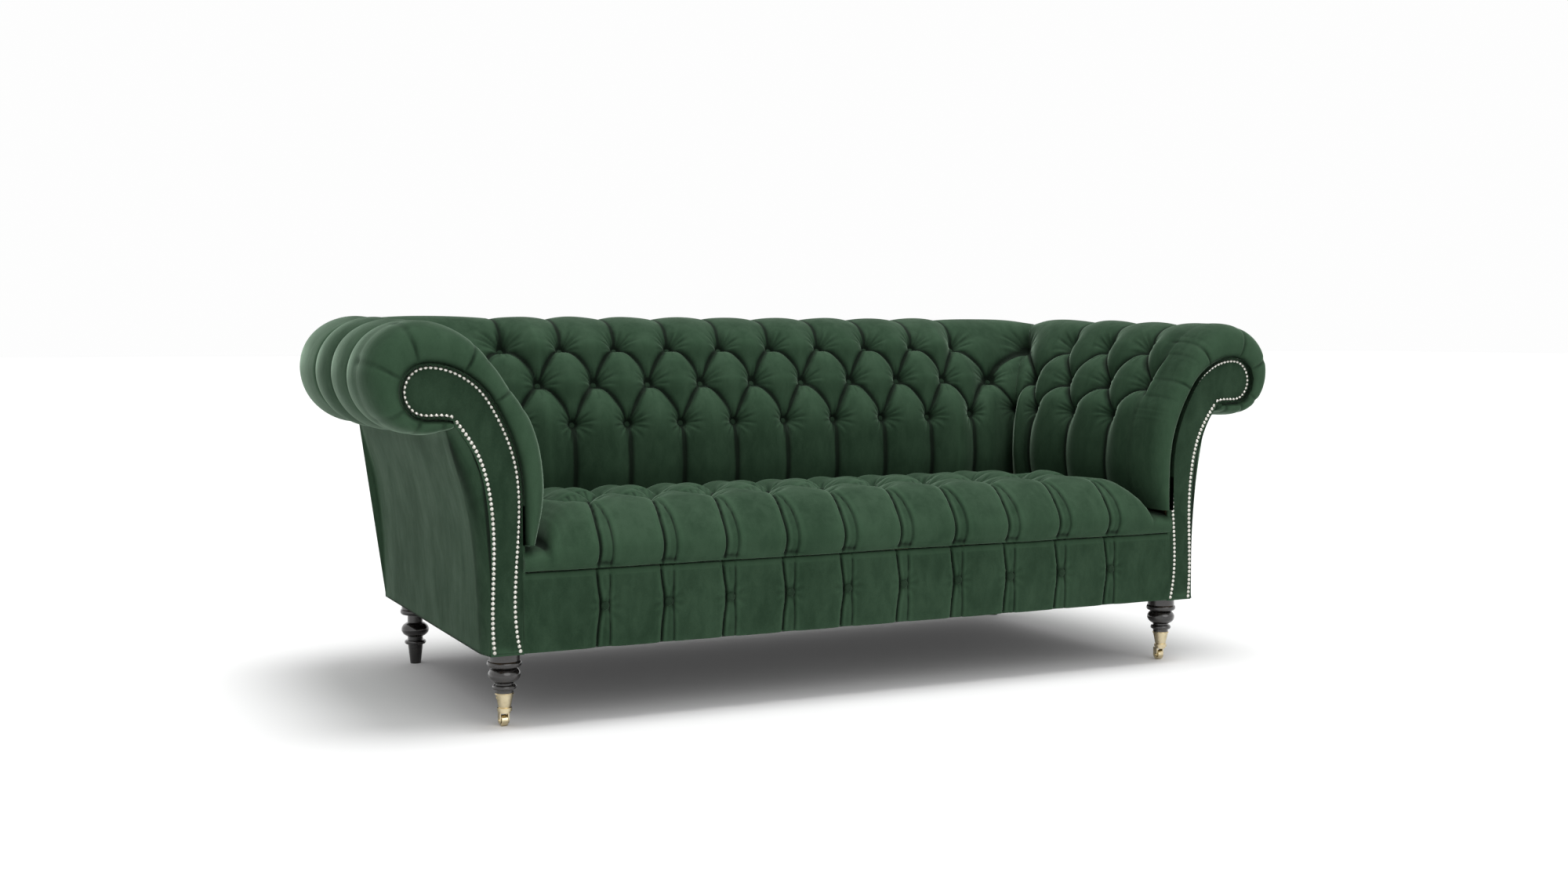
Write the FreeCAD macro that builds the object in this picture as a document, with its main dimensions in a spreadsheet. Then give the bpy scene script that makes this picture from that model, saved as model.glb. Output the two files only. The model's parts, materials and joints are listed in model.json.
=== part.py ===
"""Chesterfield sofa: hardwood frame, sprung seat, deep-buttoned pads, turned legs and front castors.

Millimetres. X runs along the sofa, the front faces -Y and +Z is up. The origin is on the floor,
below the middle of the sofa.
"""
import math
import os
import re

import FreeCAD
import Part

Vector = FreeCAD.Vector

SIZES = [
    ("overall_width", 2089.0, "over the two arm rolls"),
    ("overall_depth", 938.0, "front of the seat roll to the back roll"),
    ("overall_height", 790.0, "floor to the crest of the back"),
    ("base_width", 1658.0, "over the outside arms at the foot"),
    ("seat_roll_overhang", 22.0, "seat roll in front of the base"),
    ("back_roll_overhang", 80.0, "back roll behind the base"),
    ("underside", 145.5, "floor to the dust cover"),
    ("seam_height", 300.0, "floor to the seam between border and seat"),
    ("arm_crest", 774.0, "floor to the front of an arm's crest"),
    ("pad_foot", 353.0, "floor to the foot of the arm and back pads"),
    ("arm_foot_width", 50.0, "nail line to nail line at an arm's foot"),
    ("facing_inset", 17.0, "outside arm to the outer nail line"),
    ("nail_margin", 6.0, "nail line to the edge of the facing"),
    ("nail_radius", 4.0, "upholstery nail head"),
    ("nail_rise", 2.5, "height of a nail head"),
    ("nail_pitch", 9.4, "nail to nail"),
    ("velvet", 3.0, "velvet facing with its wadding"),
    ("board", 22.0, "thickness of the scroll boards"),
    ("rail", 26.0, "thickness of the seat rails"),
    ("front_rail", 24.0, "thickness of the front rail"),
    ("rail_height", 114.0, "height of the seat rails"),
    ("cross_rail", 40.0, "thickness of the cross rails"),
    ("block_height", 42.0, "height of a corner block"),
    ("block_length", 84.0, "side of a corner block"),
    ("head_rail_width", 56.0, "width of the scroll rails"),
    ("head_rail_height", 38.0, "height of the scroll rails"),
    ("head_rail_round", 8.0, "rounded edges of the scroll rails"),
    ("stay_rail", 24.0, "thickness of the stay rails"),
    ("stay_height", 42.0, "height of the stay rails"),
    ("post", 30.0, "width and thickness of the back posts"),
    ("post_spacing", 900.0, "between the back posts"),
    ("strap_width", 50.0, "webbing strap"),
    ("strap", 1.5, "thickness of the webbing"),
    ("strap_pitch", 165.0, "webbing strap to webbing strap"),
    ("cover", 8.0, "outside covers with their wadding"),
    ("border", 16.0, "front border with its wadding"),
    ("border_crown", 4.0, "rise of the border between its seams"),
    ("border_button_height", 228.0, "floor to the border buttons"),
    ("dust_cover", 1.5, "thickness of the dust cover"),
    ("gap", 0.3, "clearance between pieces that aren't fixed face to face"),
    ("mitre_gap", 1.0, "clearance across the corner seams"),
    ("wire_radius", 2.0, "seat spring wire"),
    ("clip_sheet", 1.0, "steel of a spring clip over the wire"),
    ("spring_pitch", 165.0, "spring to spring"),
    ("spring_bend", 12.0, "bend radius of a seat spring"),
    ("spring_straight", 26.0, "straight run between bends"),
    ("hessian", 1.5, "thickness of the hessian"),
    ("core_height", 61.0, "thickness of the seat core"),
    ("button_radius", 8.5, "covered button"),
    ("button_rise", 6.0, "height of a covered button"),
    ("pit_flat", 10.0, "half the flat floor of a tuft"),
    ("back_pitch", 132.0, "column to column on back, seat and border"),
    ("arm_pitch", 158.0, "column to column on the arms"),
    ("arm_first", 203.0, "base front to the first full column of an arm"),
    ("pleat_depth", 17.0, "depth of a pleat"),
    ("pit_depth", 14.0, "further depth of a button's pit"),
    ("seam_depth", 24.0, "depth of the corner seams"),
    ("corner_tuck", 45.0, "rounding of the outer rear corners"),
    ("nose_length", 46.0, "length of the rounded front of an arm roll"),
    ("nose_rim", 4.0, "pad outside the facing at the front edge"),
    ("leg_axis_side", 50.6, "leg axis to the outside of the base"),
    ("leg_axis_front", 54.5, "front leg axis to the base front"),
    ("leg_axis_rear", 73.0, "rear leg axis to the base rear"),
    ("leg_top_radius", 30.0, "top of a leg"),
    ("collar_radius", 33.0, "collar of a leg"),
    ("collar_round", 7.0, "roundness of the collar"),
    ("bulb_radius", 30.8, "belly of a leg"),
    ("bulb_half", 19.5, "half the height of the belly"),
    ("neck_radius", 17.0, "necks of a leg"),
    ("ring_round", 5.0, "roundness of the ring"),
    ("front_ring_radius", 23.0, "ring of a front leg"),
    ("rear_ring_radius", 24.0, "ring of a rear leg"),
    ("front_collar_height", 122.5, "floor to a front leg's collar"),
    ("front_bulb_height", 101.0, "floor to a front leg's belly"),
    ("front_ring_height", 77.0, "floor to a front leg's ring"),
    ("rear_collar_height", 119.0, "floor to a rear leg's collar"),
    ("rear_bulb_height", 78.0, "floor to a rear leg's belly"),
    ("rear_ring_height", 49.0, "floor to a rear leg's ring"),
    ("taper_radius", 12.0, "foot of a rear leg"),
    ("stud_radius", 4.0, "leg stud"),
    ("stud_grip", 30.0, "leg stud inside the leg"),
    ("insert_radius", 5.5, "threaded insert"),
    ("insert_flange", 10.5, "flange of the threaded insert"),
    ("insert_flange_height", 2.0, "thickness of the flange"),
    ("cup_top", 66.0, "floor to the castor cup's rim"),
    ("cup_bottom", 31.0, "floor to the castor cup's base"),
    ("cup_top_radius", 17.5, "rim of the castor cup"),
    ("cup_base_radius", 11.5, "foot of the castor cup's cone"),
    ("cup_wall", 2.0, "wall of the castor cup"),
    ("cup_floor", 10.0, "base of the castor cup"),
    ("cup_flange_radius", 14.0, "flange at the castor cup's base"),
    ("cup_flange", 6.0, "height of the flange"),
    ("pin_radius", 3.5, "swivel pin"),
    ("pin_fit", 0.05, "radial clearance of a turning fit"),
    ("pin_depth", 8.5, "swivel pin inside the cup"),
    ("swivel_gap", 0.5, "cup to yoke"),
    ("yoke_radius", 11.5, "yoke plate"),
    ("yoke_plate", 3.5, "thickness of the yoke plate"),
    ("cheek", 2.5, "thickness of a yoke cheek"),
    ("cheek_radius", 6.5, "end of a yoke cheek"),
    ("wheel_radius", 11.0, "castor wheel"),
    ("wheel_width", 13.0, "castor wheel"),
    ("wheel_round", 1.5, "rounded edge of the castor wheel"),
    ("wheel_gap", 0.5, "wheel to cheek"),
    ("trail", 7.0, "castor wheel's axle behind the swivel axis"),
    ("axle_radius", 2.2, "castor axle"),
    ("rivet", 1.2, "axle head beyond the cheek"),
    ("screw_radius", 2.2, "corner block screws"),
    ("screw_head", 4.4, "corner block screw heads"),
    ("screw_grip", 16.0, "corner block screw inside a rail"),
    ("cup_pin_radius", 1.3, "pins through the castor cup"),
]

document = FreeCAD.newDocument("chesterfield_sofa")
sheet = document.addObject("Spreadsheet::Sheet", "Sizes")
for row, (alias, value, note) in enumerate(SIZES, start=1):
    sheet.set(f"A{row}", note)
    sheet.set(f"B{row}", str(value))
    sheet.setAlias(f"B{row}", alias)
document.recompute()
WORDS = {alias for alias, value, note in SIZES}
subparts = []


# Reading sizes and binding objects to them


def size(alias):
    """The value of one cell of the sheet."""
    return float(sheet.get(alias))


def formula(text):
    """A formula in the sheet's words as an expression of the document."""
    return re.sub(r"[a-z_]+", lambda word: "Sizes." + word[0] if word[0] in WORDS else word[0], str(text))


def bind(item, **properties):
    """Tie properties of an object to formulas in the sheet's words."""
    for name, text in properties.items():
        item.setExpression(name, formula(text))
    return item


def place(item, x="0", y="0", z="0", axis=None, angle=0.0):
    """Set an object down at a point given by three formulas, turned about an axis."""
    if axis:
        item.Placement = FreeCAD.Placement(Vector(), FreeCAD.Rotation(Vector(*axis), angle))
    for name, text in (("x", x), ("y", y), ("z", z)):
        item.setExpression("Placement.Base." + name, formula(text))
    return item


def keep(item, label):
    """Give a sub-part its name and list it."""
    item.Label = label
    subparts.append(item)
    return item


def box(name, corner, extent):
    """A box from its low corner and its extent, both as formulas."""
    item = document.addObject("Part::Box", name)
    bind(item, Length=extent[0], Width=extent[1], Height=extent[2])
    return place(item, *corner)


def cylinder(name, radius, height, foot, axis=None, angle=0.0):
    """A cylinder from the centre of its foot."""
    item = document.addObject("Part::Cylinder", name)
    bind(item, Radius=radius, Height=height)
    return place(item, *foot, axis=axis, angle=angle)


def cone(name, low_radius, top_radius, height, foot):
    """An upright cone from the centre of its foot."""
    item = document.addObject("Part::Cone", name)
    bind(item, Radius1=low_radius, Radius2=top_radius, Height=height)
    return place(item, *foot)


def ring(name, radius, roundness, centre):
    """A round moulding: its outer radius and the radius of its bead."""
    item = document.addObject("Part::Torus", name)
    bind(item, Radius1=f"{radius} - {roundness}", Radius2=roundness)
    return place(item, *centre)


def fuse(name, pieces):
    item = document.addObject("Part::MultiFuse", name)
    item.Shapes = pieces
    return item


def cut(name, base, tool):
    item = document.addObject("Part::Cut", name)
    item.Base = base
    item.Tool = tool
    return item


def group(name, pieces):
    item = document.addObject("Part::Compound", name)
    item.Links = pieces
    return item


def feature(name, shape):
    """A sub-part whose shape is worked out from the sheet's sizes."""
    item = document.addObject("Part::Feature", name)
    item.Shape = shape
    item.Placement = FreeCAD.Placement()
    return item


def mirrored(text, side):
    """A formula for a place on the right side, or the same place on the left."""
    return text if side > 0 else f"-({text})"


def low_corner(inner, extent, side):
    """The low X of a box that starts at inner and runs outwards on one side."""
    return inner if side > 0 else f"-({inner}) - ({extent})"


SIDES = (("left", -1), ("right", 1))

# Places that many pieces share

BASE_FRONT = "-overall_depth / 2 + seat_roll_overhang"
BASE_REAR = "overall_depth / 2 - back_roll_overhang"
FRAME_FOOT = "underside + dust_cover + gap"
FRAME_TOP = FRAME_FOOT + " + rail_height"
BOARD_INNER = "base_width / 2 - facing_inset - arm_foot_width - nail_margin"
BOARD_FRONT = f"{BASE_FRONT} + velvet"
BOARD_REAR = f"{BASE_FRONT} + velvet + board"
SIDE_RAIL_INNER = "base_width / 2 - cover - gap - rail"
FRONT_RAIL_FRONT = f"{BASE_FRONT} + border + gap"
FRONT_RAIL_REAR = f"{BASE_FRONT} + border + gap + front_rail"
REAR_RAIL_REAR = f"{BASE_REAR} - cover - gap"
REAR_RAIL_FRONT = f"{BASE_REAR} - cover - gap - rail"
LEG_X = "base_width / 2 - leg_axis_side"
FRONT_LEG_Y = f"{BASE_FRONT} + leg_axis_front"
REAR_LEG_Y = f"{BASE_REAR} - leg_axis_rear"
SPRING_HEIGHT = f"{FRAME_TOP} + gap + wire_radius"
HESSIAN_FOOT = f"{SPRING_HEIGHT} + wire_radius + clip_sheet + gap"
CORE_FOOT = f"{HESSIAN_FOOT} + hessian + gap"
CORE_TOP = f"{CORE_FOOT} + core_height"


def worked(text):
    """The value of a formula in the sheet's words."""
    return float(sheet.evalExpression(text))


base_half = size("base_width") / 2
roll_side = size("overall_width") / 2
base_front = worked(BASE_FRONT)
base_rear = worked(BASE_REAR)
roll_rear = size("overall_depth") / 2
frame_foot = worked(FRAME_FOOT)
crest = size("overall_height")
gap = size("gap")
mitre_offset = roll_side - roll_rear

# Seat frame: rails, corner blocks, screws, threaded inserts

screw_places = []
for side_name, side in SIDES:
    for end_name, leg_y, rail_face, inward in (
        ("front", FRONT_LEG_Y, FRONT_RAIL_REAR, 1),
        ("rear", REAR_LEG_Y, REAR_RAIL_FRONT, -1),
    ):
        screw_places.append((side_name, side, end_name, leg_y, rail_face, inward))


def screw(name, x, y, axis, angle, reach):
    """A round-headed screw, its head inside the frame and its shank through the block."""
    height = f"{FRAME_FOOT} + block_height / 2"
    shank = cylinder(name + "_shank", "screw_radius", reach, (x, y, height), axis, angle)
    head = cylinder(name + "_head", "screw_head", "screw_radius", (x, y, height), axis, angle + 180)
    return shank, head


shanks = []
screws = []
for side_name, side, end_name, leg_y, rail_face, inward in screw_places:
    stem = f"{side_name}_{end_name}"
    block_side = f"{SIDE_RAIL_INNER} - block_length"
    block_end = f"({rail_face}) + {inward} * block_length"
    across = screw(
        stem + "_side_screw",
        mirrored(block_side, side),
        f"({rail_face}) + {inward} * block_length * 0.85",
        (0, 1, 0),
        90 * side,
        "block_length + screw_grip",
    )
    along = screw(
        stem + "_end_screw",
        mirrored(f"{SIDE_RAIL_INNER} - block_length * 0.85", side),
        block_end,
        (1, 0, 0),
        90 * inward,
        "block_length + screw_grip",
    )
    for shank, head in (across, along):
        shanks.append(shank)
        screws.append(fuse(shank.Name + "_whole", [shank, head]))
screw_tool = group("screw_tool", shanks)
keep(group("block_screws_group", screws), "corner_block_screws")

rail_run = f"({REAR_RAIL_REAR}) - ({BOARD_REAR})"
front_rail = box(
    "front_rail_blank",
    (f"-({BOARD_INNER})", FRONT_RAIL_FRONT, FRAME_FOOT),
    (f"2 * ({BOARD_INNER})", "front_rail", "rail_height"),
)
keep(cut("front_rail_drilled", front_rail, screw_tool), "front_seat_rail")
rear_rail = box(
    "rear_rail_blank",
    (f"-({SIDE_RAIL_INNER})", REAR_RAIL_FRONT, FRAME_FOOT),
    (f"2 * ({SIDE_RAIL_INNER})", "rail", "rail_height"),
)
keep(cut("rear_rail_drilled", rear_rail, screw_tool), "rear_seat_rail")
for side_name, side in SIDES:
    side_rail = box(
        side_name + "_rail_blank",
        (low_corner(SIDE_RAIL_INNER, "rail", side), BOARD_REAR, FRAME_FOOT),
        ("rail", rail_run, "rail_height"),
    )
    keep(cut(side_name + "_rail_drilled", side_rail, screw_tool), side_name + "_side_rail")
    keep(
        box(
            side_name + "_cross",
            (low_corner("base_width / 6", "cross_rail", side), FRONT_RAIL_REAR, FRAME_FOOT),
            ("cross_rail", f"({REAR_RAIL_FRONT}) - ({FRONT_RAIL_REAR})", "rail_height / 2"),
        ),
        side_name + "_cross_rail",
    )

drilled_blocks = []
inserts = []
studs = []
for side_name, side, end_name, leg_y, rail_face, inward in screw_places:
    stem = f"{side_name}_{end_name}"
    blank = box(
        stem + "_block",
        (
            low_corner(f"{SIDE_RAIL_INNER} - block_length", "block_length", side),
            rail_face if inward > 0 else f"({rail_face}) - block_length",
            FRAME_FOOT,
        ),
        ("block_length", "block_length", "block_height"),
    )
    leg_place = (mirrored(LEG_X, side), leg_y)
    hole = cylinder(stem + "_hole", "insert_radius", "block_height", (*leg_place, FRAME_FOOT))
    drilled = cut(stem + "_block_bored", blank, group(stem + "_bores", [hole, screw_tool]))
    drilled_blocks.append(drilled)
    barrel = cylinder(stem + "_barrel", "insert_radius", "block_height", (*leg_place, FRAME_FOOT))
    flange = cylinder(
        stem + "_flange",
        "insert_flange",
        "insert_flange_height",
        (*leg_place, f"{FRAME_FOOT} + block_height"),
    )
    thread = cylinder(
        stem + "_thread",
        "stud_radius",
        "block_height + insert_flange_height",
        (*leg_place, FRAME_FOOT),
    )
    inserts.append(cut(stem + "_insert", fuse(stem + "_insert_blank", [barrel, flange]), thread))
    studs.append(
        cylinder(
            stem + "_stud",
            "stud_radius",
            "stud_grip + block_height",
            (*leg_place, f"{FRAME_FOOT} - stud_grip"),
        )
    )
keep(group("blocks", drilled_blocks), "corner_blocks")
keep(group("inserts", inserts), "threaded_inserts")
stud_group = keep(group("studs", studs), "leg_studs")

# Turned legs


def leg_common(stem, leg_place, collar_height, bulb_height, ring_height, ring_radius, foot):
    """The top, collar, belly, ring and necks of a turned leg."""
    x, y = leg_place
    leg_top = f"{FRAME_FOOT}"
    return [
        cylinder(stem + "_top", "leg_top_radius", f"{leg_top} - {collar_height}", (x, y, collar_height)),
        ring(stem + "_collar", "collar_radius", "collar_round", (x, y, collar_height)),
        cylinder(stem + "_core", "neck_radius", f"{leg_top} - ({foot})", (x, y, foot)),
        bind_bulb(stem + "_bulb", (x, y, bulb_height)),
        ring(stem + "_ring", ring_radius, "ring_round", (x, y, ring_height)),
        cylinder(
            stem + "_ring_core",
            f"{ring_radius} - ring_round",
            "2 * ring_round",
            (x, y, f"{ring_height} - ring_round"),
        ),
        cylinder(
            stem + "_collar_core",
            "collar_radius - collar_round",
            "2 * collar_round",
            (x, y, f"{collar_height} - collar_round"),
        ),
    ]


def bind_bulb(name, centre):
    """The belly of a leg, a flattened ball."""
    item = document.addObject("Part::Ellipsoid", name)
    bind(item, Radius1="bulb_half", Radius2="bulb_radius", Radius3="bulb_radius")
    return place(item, *centre)


SPIGOT_RADIUS = "cup_base_radius - cup_wall"
SPIGOT_TOP = "cup_top_radius - cup_wall"
CUP_INSIDE = "cup_bottom + cup_floor"
cup_pins = []
cup_tools = {}
for side_name, side in SIDES:
    leg_place = (mirrored(LEG_X, side), FRONT_LEG_Y)
    for number, (axis, angle) in enumerate((((0, 1, 0), 90), ((0, 1, 0), -90))):
        name = f"{side_name}_cup_pin_{number}"
        cup_pins.append(
            cylinder(
                name,
                "cup_pin_radius",
                "cup_top_radius - cup_wall / 2",
                (*leg_place, "cup_top - 9"),
                axis,
                angle,
            )
        )
    cup_tools[side_name] = group(side_name + "_cup_pin_tool", cup_pins[-2:])

for side_name, side in SIDES:
    stem = side_name + "_front_leg"
    leg_place = (mirrored(LEG_X, side), FRONT_LEG_Y)
    pieces = leg_common(
        stem,
        leg_place,
        "front_collar_height",
        "front_bulb_height",
        "front_ring_height",
        "front_ring_radius",
        "cup_top",
    )
    spigot = cone(stem + "_spigot", SPIGOT_RADIUS, SPIGOT_TOP, f"cup_top - ({CUP_INSIDE})", (*leg_place, CUP_INSIDE))
    whole = fuse(stem + "_turned", pieces + [spigot])
    drilled = cut(stem + "_drilled", whole, stud_group)
    keep(cut(stem + "_pinned", drilled, cup_tools[side_name]), stem)

    stem = side_name + "_rear_leg"
    leg_place = (mirrored(LEG_X, side), REAR_LEG_Y)
    pieces = leg_common(
        stem,
        leg_place,
        "rear_collar_height",
        "rear_bulb_height",
        "rear_ring_height",
        "rear_ring_radius",
        "rear_ring_height - ring_round",
    )
    taper = cone(
        stem + "_taper",
        "taper_radius",
        "neck_radius",
        "rear_ring_height - ring_round",
        (*leg_place, "0"),
    )
    whole = fuse(stem + "_turned", pieces + [taper])
    keep(cut(stem + "_drilled", whole, stud_group), stem)

# Castors: cup on the leg, yoke that swivels, wheel on its axle

YOKE_TOP = "cup_bottom - swivel_gap"
CHEEK_OFFSET = "wheel_width / 2 + wheel_gap"
keep(group("cup_pin_group", cup_pins), "castor_cup_pins")
for side_name, side in SIDES:
    stem = side_name + "_castor"
    x, y = mirrored(LEG_X, side), FRONT_LEG_Y
    outside = cone(
        stem + "_cup_outside",
        "cup_base_radius",
        "cup_top_radius",
        "cup_top - cup_bottom - cup_flange",
        (x, y, "cup_bottom + cup_flange"),
    )
    flange = cylinder(stem + "_cup_flange", "cup_flange_radius", "cup_flange", (x, y, "cup_bottom"))
    rim = ring(stem + "_cup_rim", "cup_top_radius + cup_wall / 2", "cup_wall / 2", (x, y, "cup_top - cup_wall"))
    inside = cone(
        stem + "_cup_inside",
        SPIGOT_RADIUS,
        SPIGOT_TOP,
        f"cup_top - ({CUP_INSIDE})",
        (x, y, CUP_INSIDE),
    )
    bore = cylinder(stem + "_cup_bore", "pin_radius + pin_fit", "pin_depth + swivel_gap", (x, y, "cup_bottom"))
    blank = fuse(stem + "_cup_blank", [outside, flange, rim])
    tool = group(stem + "_cup_tool", [inside, bore])
    hollow = cut(stem + "_cup_hollow", blank, tool)
    keep(cut(stem + "_cup_whole", hollow, cup_tools[side_name]), stem + "_cup")

    wheel_y = f"({y}) + trail"
    plate = cylinder(stem + "_plate", "yoke_radius", "yoke_plate", (x, y, f"{YOKE_TOP} - yoke_plate"))
    pin = cylinder(stem + "_pin", "pin_radius", "pin_depth + swivel_gap", (x, y, YOKE_TOP))
    fork = [plate, pin]
    for number, outward in enumerate((-1, 1)):
        cheek_low = f"({x}) + {CHEEK_OFFSET}" if outward > 0 else f"({x}) - ({CHEEK_OFFSET}) - cheek"
        fork.append(
            box(
                f"{stem}_cheek_{number}",
                (cheek_low, f"({wheel_y}) - cheek_radius", "wheel_radius"),
                ("cheek", "2 * cheek_radius", f"{YOKE_TOP} - yoke_plate / 2 - wheel_radius"),
            )
        )
        fork.append(
            cylinder(
                f"{stem}_cheek_end_{number}",
                "cheek_radius",
                "cheek",
                (cheek_low, wheel_y, "wheel_radius"),
                (0, 1, 0),
                90,
            )
        )
    axle_half = f"({CHEEK_OFFSET}) + cheek"
    axle_hole = cylinder(
        stem + "_axle_hole",
        "axle_radius",
        f"2 * ({axle_half})",
        (f"({x}) - ({axle_half})", wheel_y, "wheel_radius"),
        (0, 1, 0),
        90,
    )
    keep(cut(stem + "_yoke_whole", fuse(stem + "_yoke_blank", fork), axle_hole), stem + "_yoke")
    shaft = cylinder(
        stem + "_shaft",
        "axle_radius",
        f"2 * ({axle_half})",
        (f"({x}) - ({axle_half})", wheel_y, "wheel_radius"),
        (0, 1, 0),
        90,
    )
    heads = [
        cylinder(
            f"{stem}_rivet_{number}",
            "axle_radius * 1.6",
            "rivet",
            (f"({x}) + ({axle_half})" if outward > 0 else f"({x}) - ({axle_half}) - rivet", wheel_y, "wheel_radius"),
            (0, 1, 0),
            90,
        )
        for number, outward in enumerate((-1, 1))
    ]
    keep(fuse(stem + "_axle_whole", [shaft] + heads), stem + "_axle")
    tread = cylinder(
        stem + "_tread",
        "wheel_radius",
        "wheel_width",
        (f"({x}) - wheel_width / 2", wheel_y, "wheel_radius"),
        (0, 1, 0),
        90,
    )
    document.recompute()
    rounded = document.addObject("Part::Fillet", stem + "_tread_round")
    rounded.Base = tread
    rims = [n for n, edge in enumerate(tread.Shape.Edges, start=1) if len(edge.Vertexes) == 1]
    rounded.Edges = [(n, size("wheel_round"), size("wheel_round")) for n in rims]
    hub = cylinder(
        stem + "_hub",
        "axle_radius + pin_fit",
        "wheel_width",
        (f"({x}) - wheel_width / 2", wheel_y, "wheel_radius"),
        (0, 1, 0),
        90,
    )
    keep(cut(stem + "_wheel_whole", rounded, hub), stem + "_wheel")

# Scroll outline of the arms: the nail line, as distances from the outside of the base

FOOT_OUTER = base_half - size("facing_inset")
FOOT_INNER = FOOT_OUTER - size("arm_foot_width")
head_x = base_half + 100.0
head_z = size("arm_crest") - 131.0
head_radius = 46.0


def on_head(degrees, radius):
    """A point round the arm's scroll head."""
    angle = math.radians(degrees)
    return (head_x + radius * math.cos(angle), head_z + radius * math.sin(angle))


INNER_NAILS = [
    (FOOT_INNER, frame_foot + size("nail_margin")),
    (FOOT_INNER, 450),
    (FOOT_INNER + 4, 492),
    (FOOT_INNER + 26, 566),
    (FOOT_INNER + 48, 610),
    (FOOT_INNER + 68, 640),
    (FOOT_INNER + 98, 666),
    on_head(105, head_radius),
    on_head(60, head_radius),
    on_head(0, head_radius),
    on_head(-60, head_radius),
    on_head(-110, head_radius),
    (FOOT_OUTER + 76, 597),
]
OUTER_NAILS = [
    (FOOT_OUTER + 72, 594),
    (FOOT_OUTER + 50, 565),
    (FOOT_OUTER + 28, 528),
    (FOOT_OUTER + 6, 452),
    (FOOT_OUTER, 395),
    (FOOT_OUTER, frame_foot + size("nail_margin")),
]


def spline(points):
    """A smooth curve through points given as pairs."""
    curve = Part.BSplineCurve()
    curve.interpolate([Vector(a, b, 0) for a, b in points])
    return curve


def beside(curve, parameter, distance):
    """The point beside a curve: left of its direction when the distance is positive."""
    point = curve.value(parameter)
    ahead = curve.tangent(parameter)[0]
    return (point.x - ahead.y * distance, point.y + ahead.x * distance)


def nearest(curve, point):
    """The parameter of a curve's nearest place to a point, ends included."""
    places = (curve.FirstParameter, curve.LastParameter, curve.parameter(point))
    return min(places, key=lambda place_on: curve.value(place_on).distanceToPoint(point))


def offset_points(points, distance):
    """Points beside the smooth curve through the given points, and one between each pair."""
    curve = spline(points)
    places = [curve.parameter(Vector(a, b, 0)) for a, b in points]
    doubled = []
    for first, second in zip(places, places[1:]):
        doubled += [first, (first + second) / 2]
    doubled.append(places[-1])
    return [beside(curve, place_on, distance) for place_on in doubled]


def arc_or_line(first, middle, last):
    """An arc through three points, or a line when they lie in one."""
    if (last - first).cross(middle - first).Length < 0.02 * (last - first).Length:
        return Part.LineSegment(first, last).toShape()
    return Part.Arc(first, middle, last).toShape()


def chain(points):
    """Arcs through a run of points, two points to an arc."""
    return [arc_or_line(*points[n : n + 3]) for n in range(0, len(points) - 2, 2)]


def scroll_face(y, distance, foot):
    """The arm's scroll outline as a face, widened by a distance and cut off at its foot."""
    inner = [Vector(a, y, b) for a, b in offset_points(INNER_NAILS, distance)]
    outer = [Vector(a, y, b) for a, b in offset_points(OUTER_NAILS, distance)]
    inner[0].z = outer[-1].z = foot
    inner[1].z = max(inner[1].z, foot + 1)
    edges = chain(inner)
    if (outer[0] - inner[-1]).Length > 1e-6:
        edges.append(Part.LineSegment(inner[-1], outer[0]).toShape())
    edges += chain(outer)
    edges.append(Part.LineSegment(outer[-1], inner[0]).toShape())
    return Part.Face(Part.Wire(edges))


def sided(shape, side):
    """The right-hand shape, or its mirror image for the left."""
    return shape if side > 0 else shape.mirror(Vector(), Vector(1, 0, 0))


nail_line = [spline(INNER_NAILS), spline(OUTER_NAILS)]
cap_radius = (size("nail_radius") ** 2 + size("nail_rise") ** 2) / (2 * size("nail_rise"))


def dome(radius, rise, foot):
    """A low dome on a short rim, along +Z from the origin."""
    ball = (radius**2 + rise**2) / (2 * rise)
    half = math.asin(radius / ball) / 2
    start = Vector(radius, 0, foot)
    middle = Vector(ball * math.sin(half), 0, foot + rise - ball + ball * math.cos(half))
    top = Vector(0, 0, foot + rise)
    edges = [Part.Arc(start, middle, top).toShape(), Part.LineSegment(top, Vector(0, 0, 0)).toShape()]
    if foot > 0:
        edges.append(Part.LineSegment(Vector(0, 0, 0), Vector(radius, 0, 0)).toShape())
        edges.append(Part.LineSegment(Vector(radius, 0, 0), start).toShape())
    else:
        edges.append(Part.LineSegment(Vector(0, 0, 0), start).toShape())
    return Part.Face(Part.Wire(edges)).revolve(Vector(), Vector(0, 0, 1), 360)


def set_on(shape, point, direction):
    """A copy of a shape whose +Z points in a direction from a point."""
    turn = FreeCAD.Rotation(Vector(0, 0, 1), direction)
    return shape.transformed(FreeCAD.Placement(point, turn).toMatrix(), True)


nail = dome(size("nail_radius"), size("nail_rise"), 0)
nails = []
for curve in nail_line:
    path = curve.toShape()
    count = round(path.Length / size("nail_pitch"))
    for point in path.discretize(count + 1)[(1 if nails else 0) :]:
        nails.append(set_on(nail, Vector(point.x, base_front, point.y), Vector(0, -1, 0)))

for side_name, side in SIDES:
    facing = scroll_face(base_front, size("nail_margin"), frame_foot)
    keep(
        feature(side_name + "_facing", sided(facing.extrude(Vector(0, size("velvet"), 0)), side)),
        side_name + "_arm_facing",
    )
    board_front = base_front + size("velvet")
    front_board = scroll_face(board_front, size("nail_margin"), frame_foot)
    keep(
        feature(side_name + "_front_board", sided(front_board.extrude(Vector(0, size("board"), 0)), side)),
        side_name + "_arm_front_board",
    )
    trim = Part.makeCompound([sided(one, side) for one in nails])
    keep(feature(side_name + "_nails", trim), side_name + "_arm_nails")

# Scroll rails, stay rails and back frame


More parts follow.
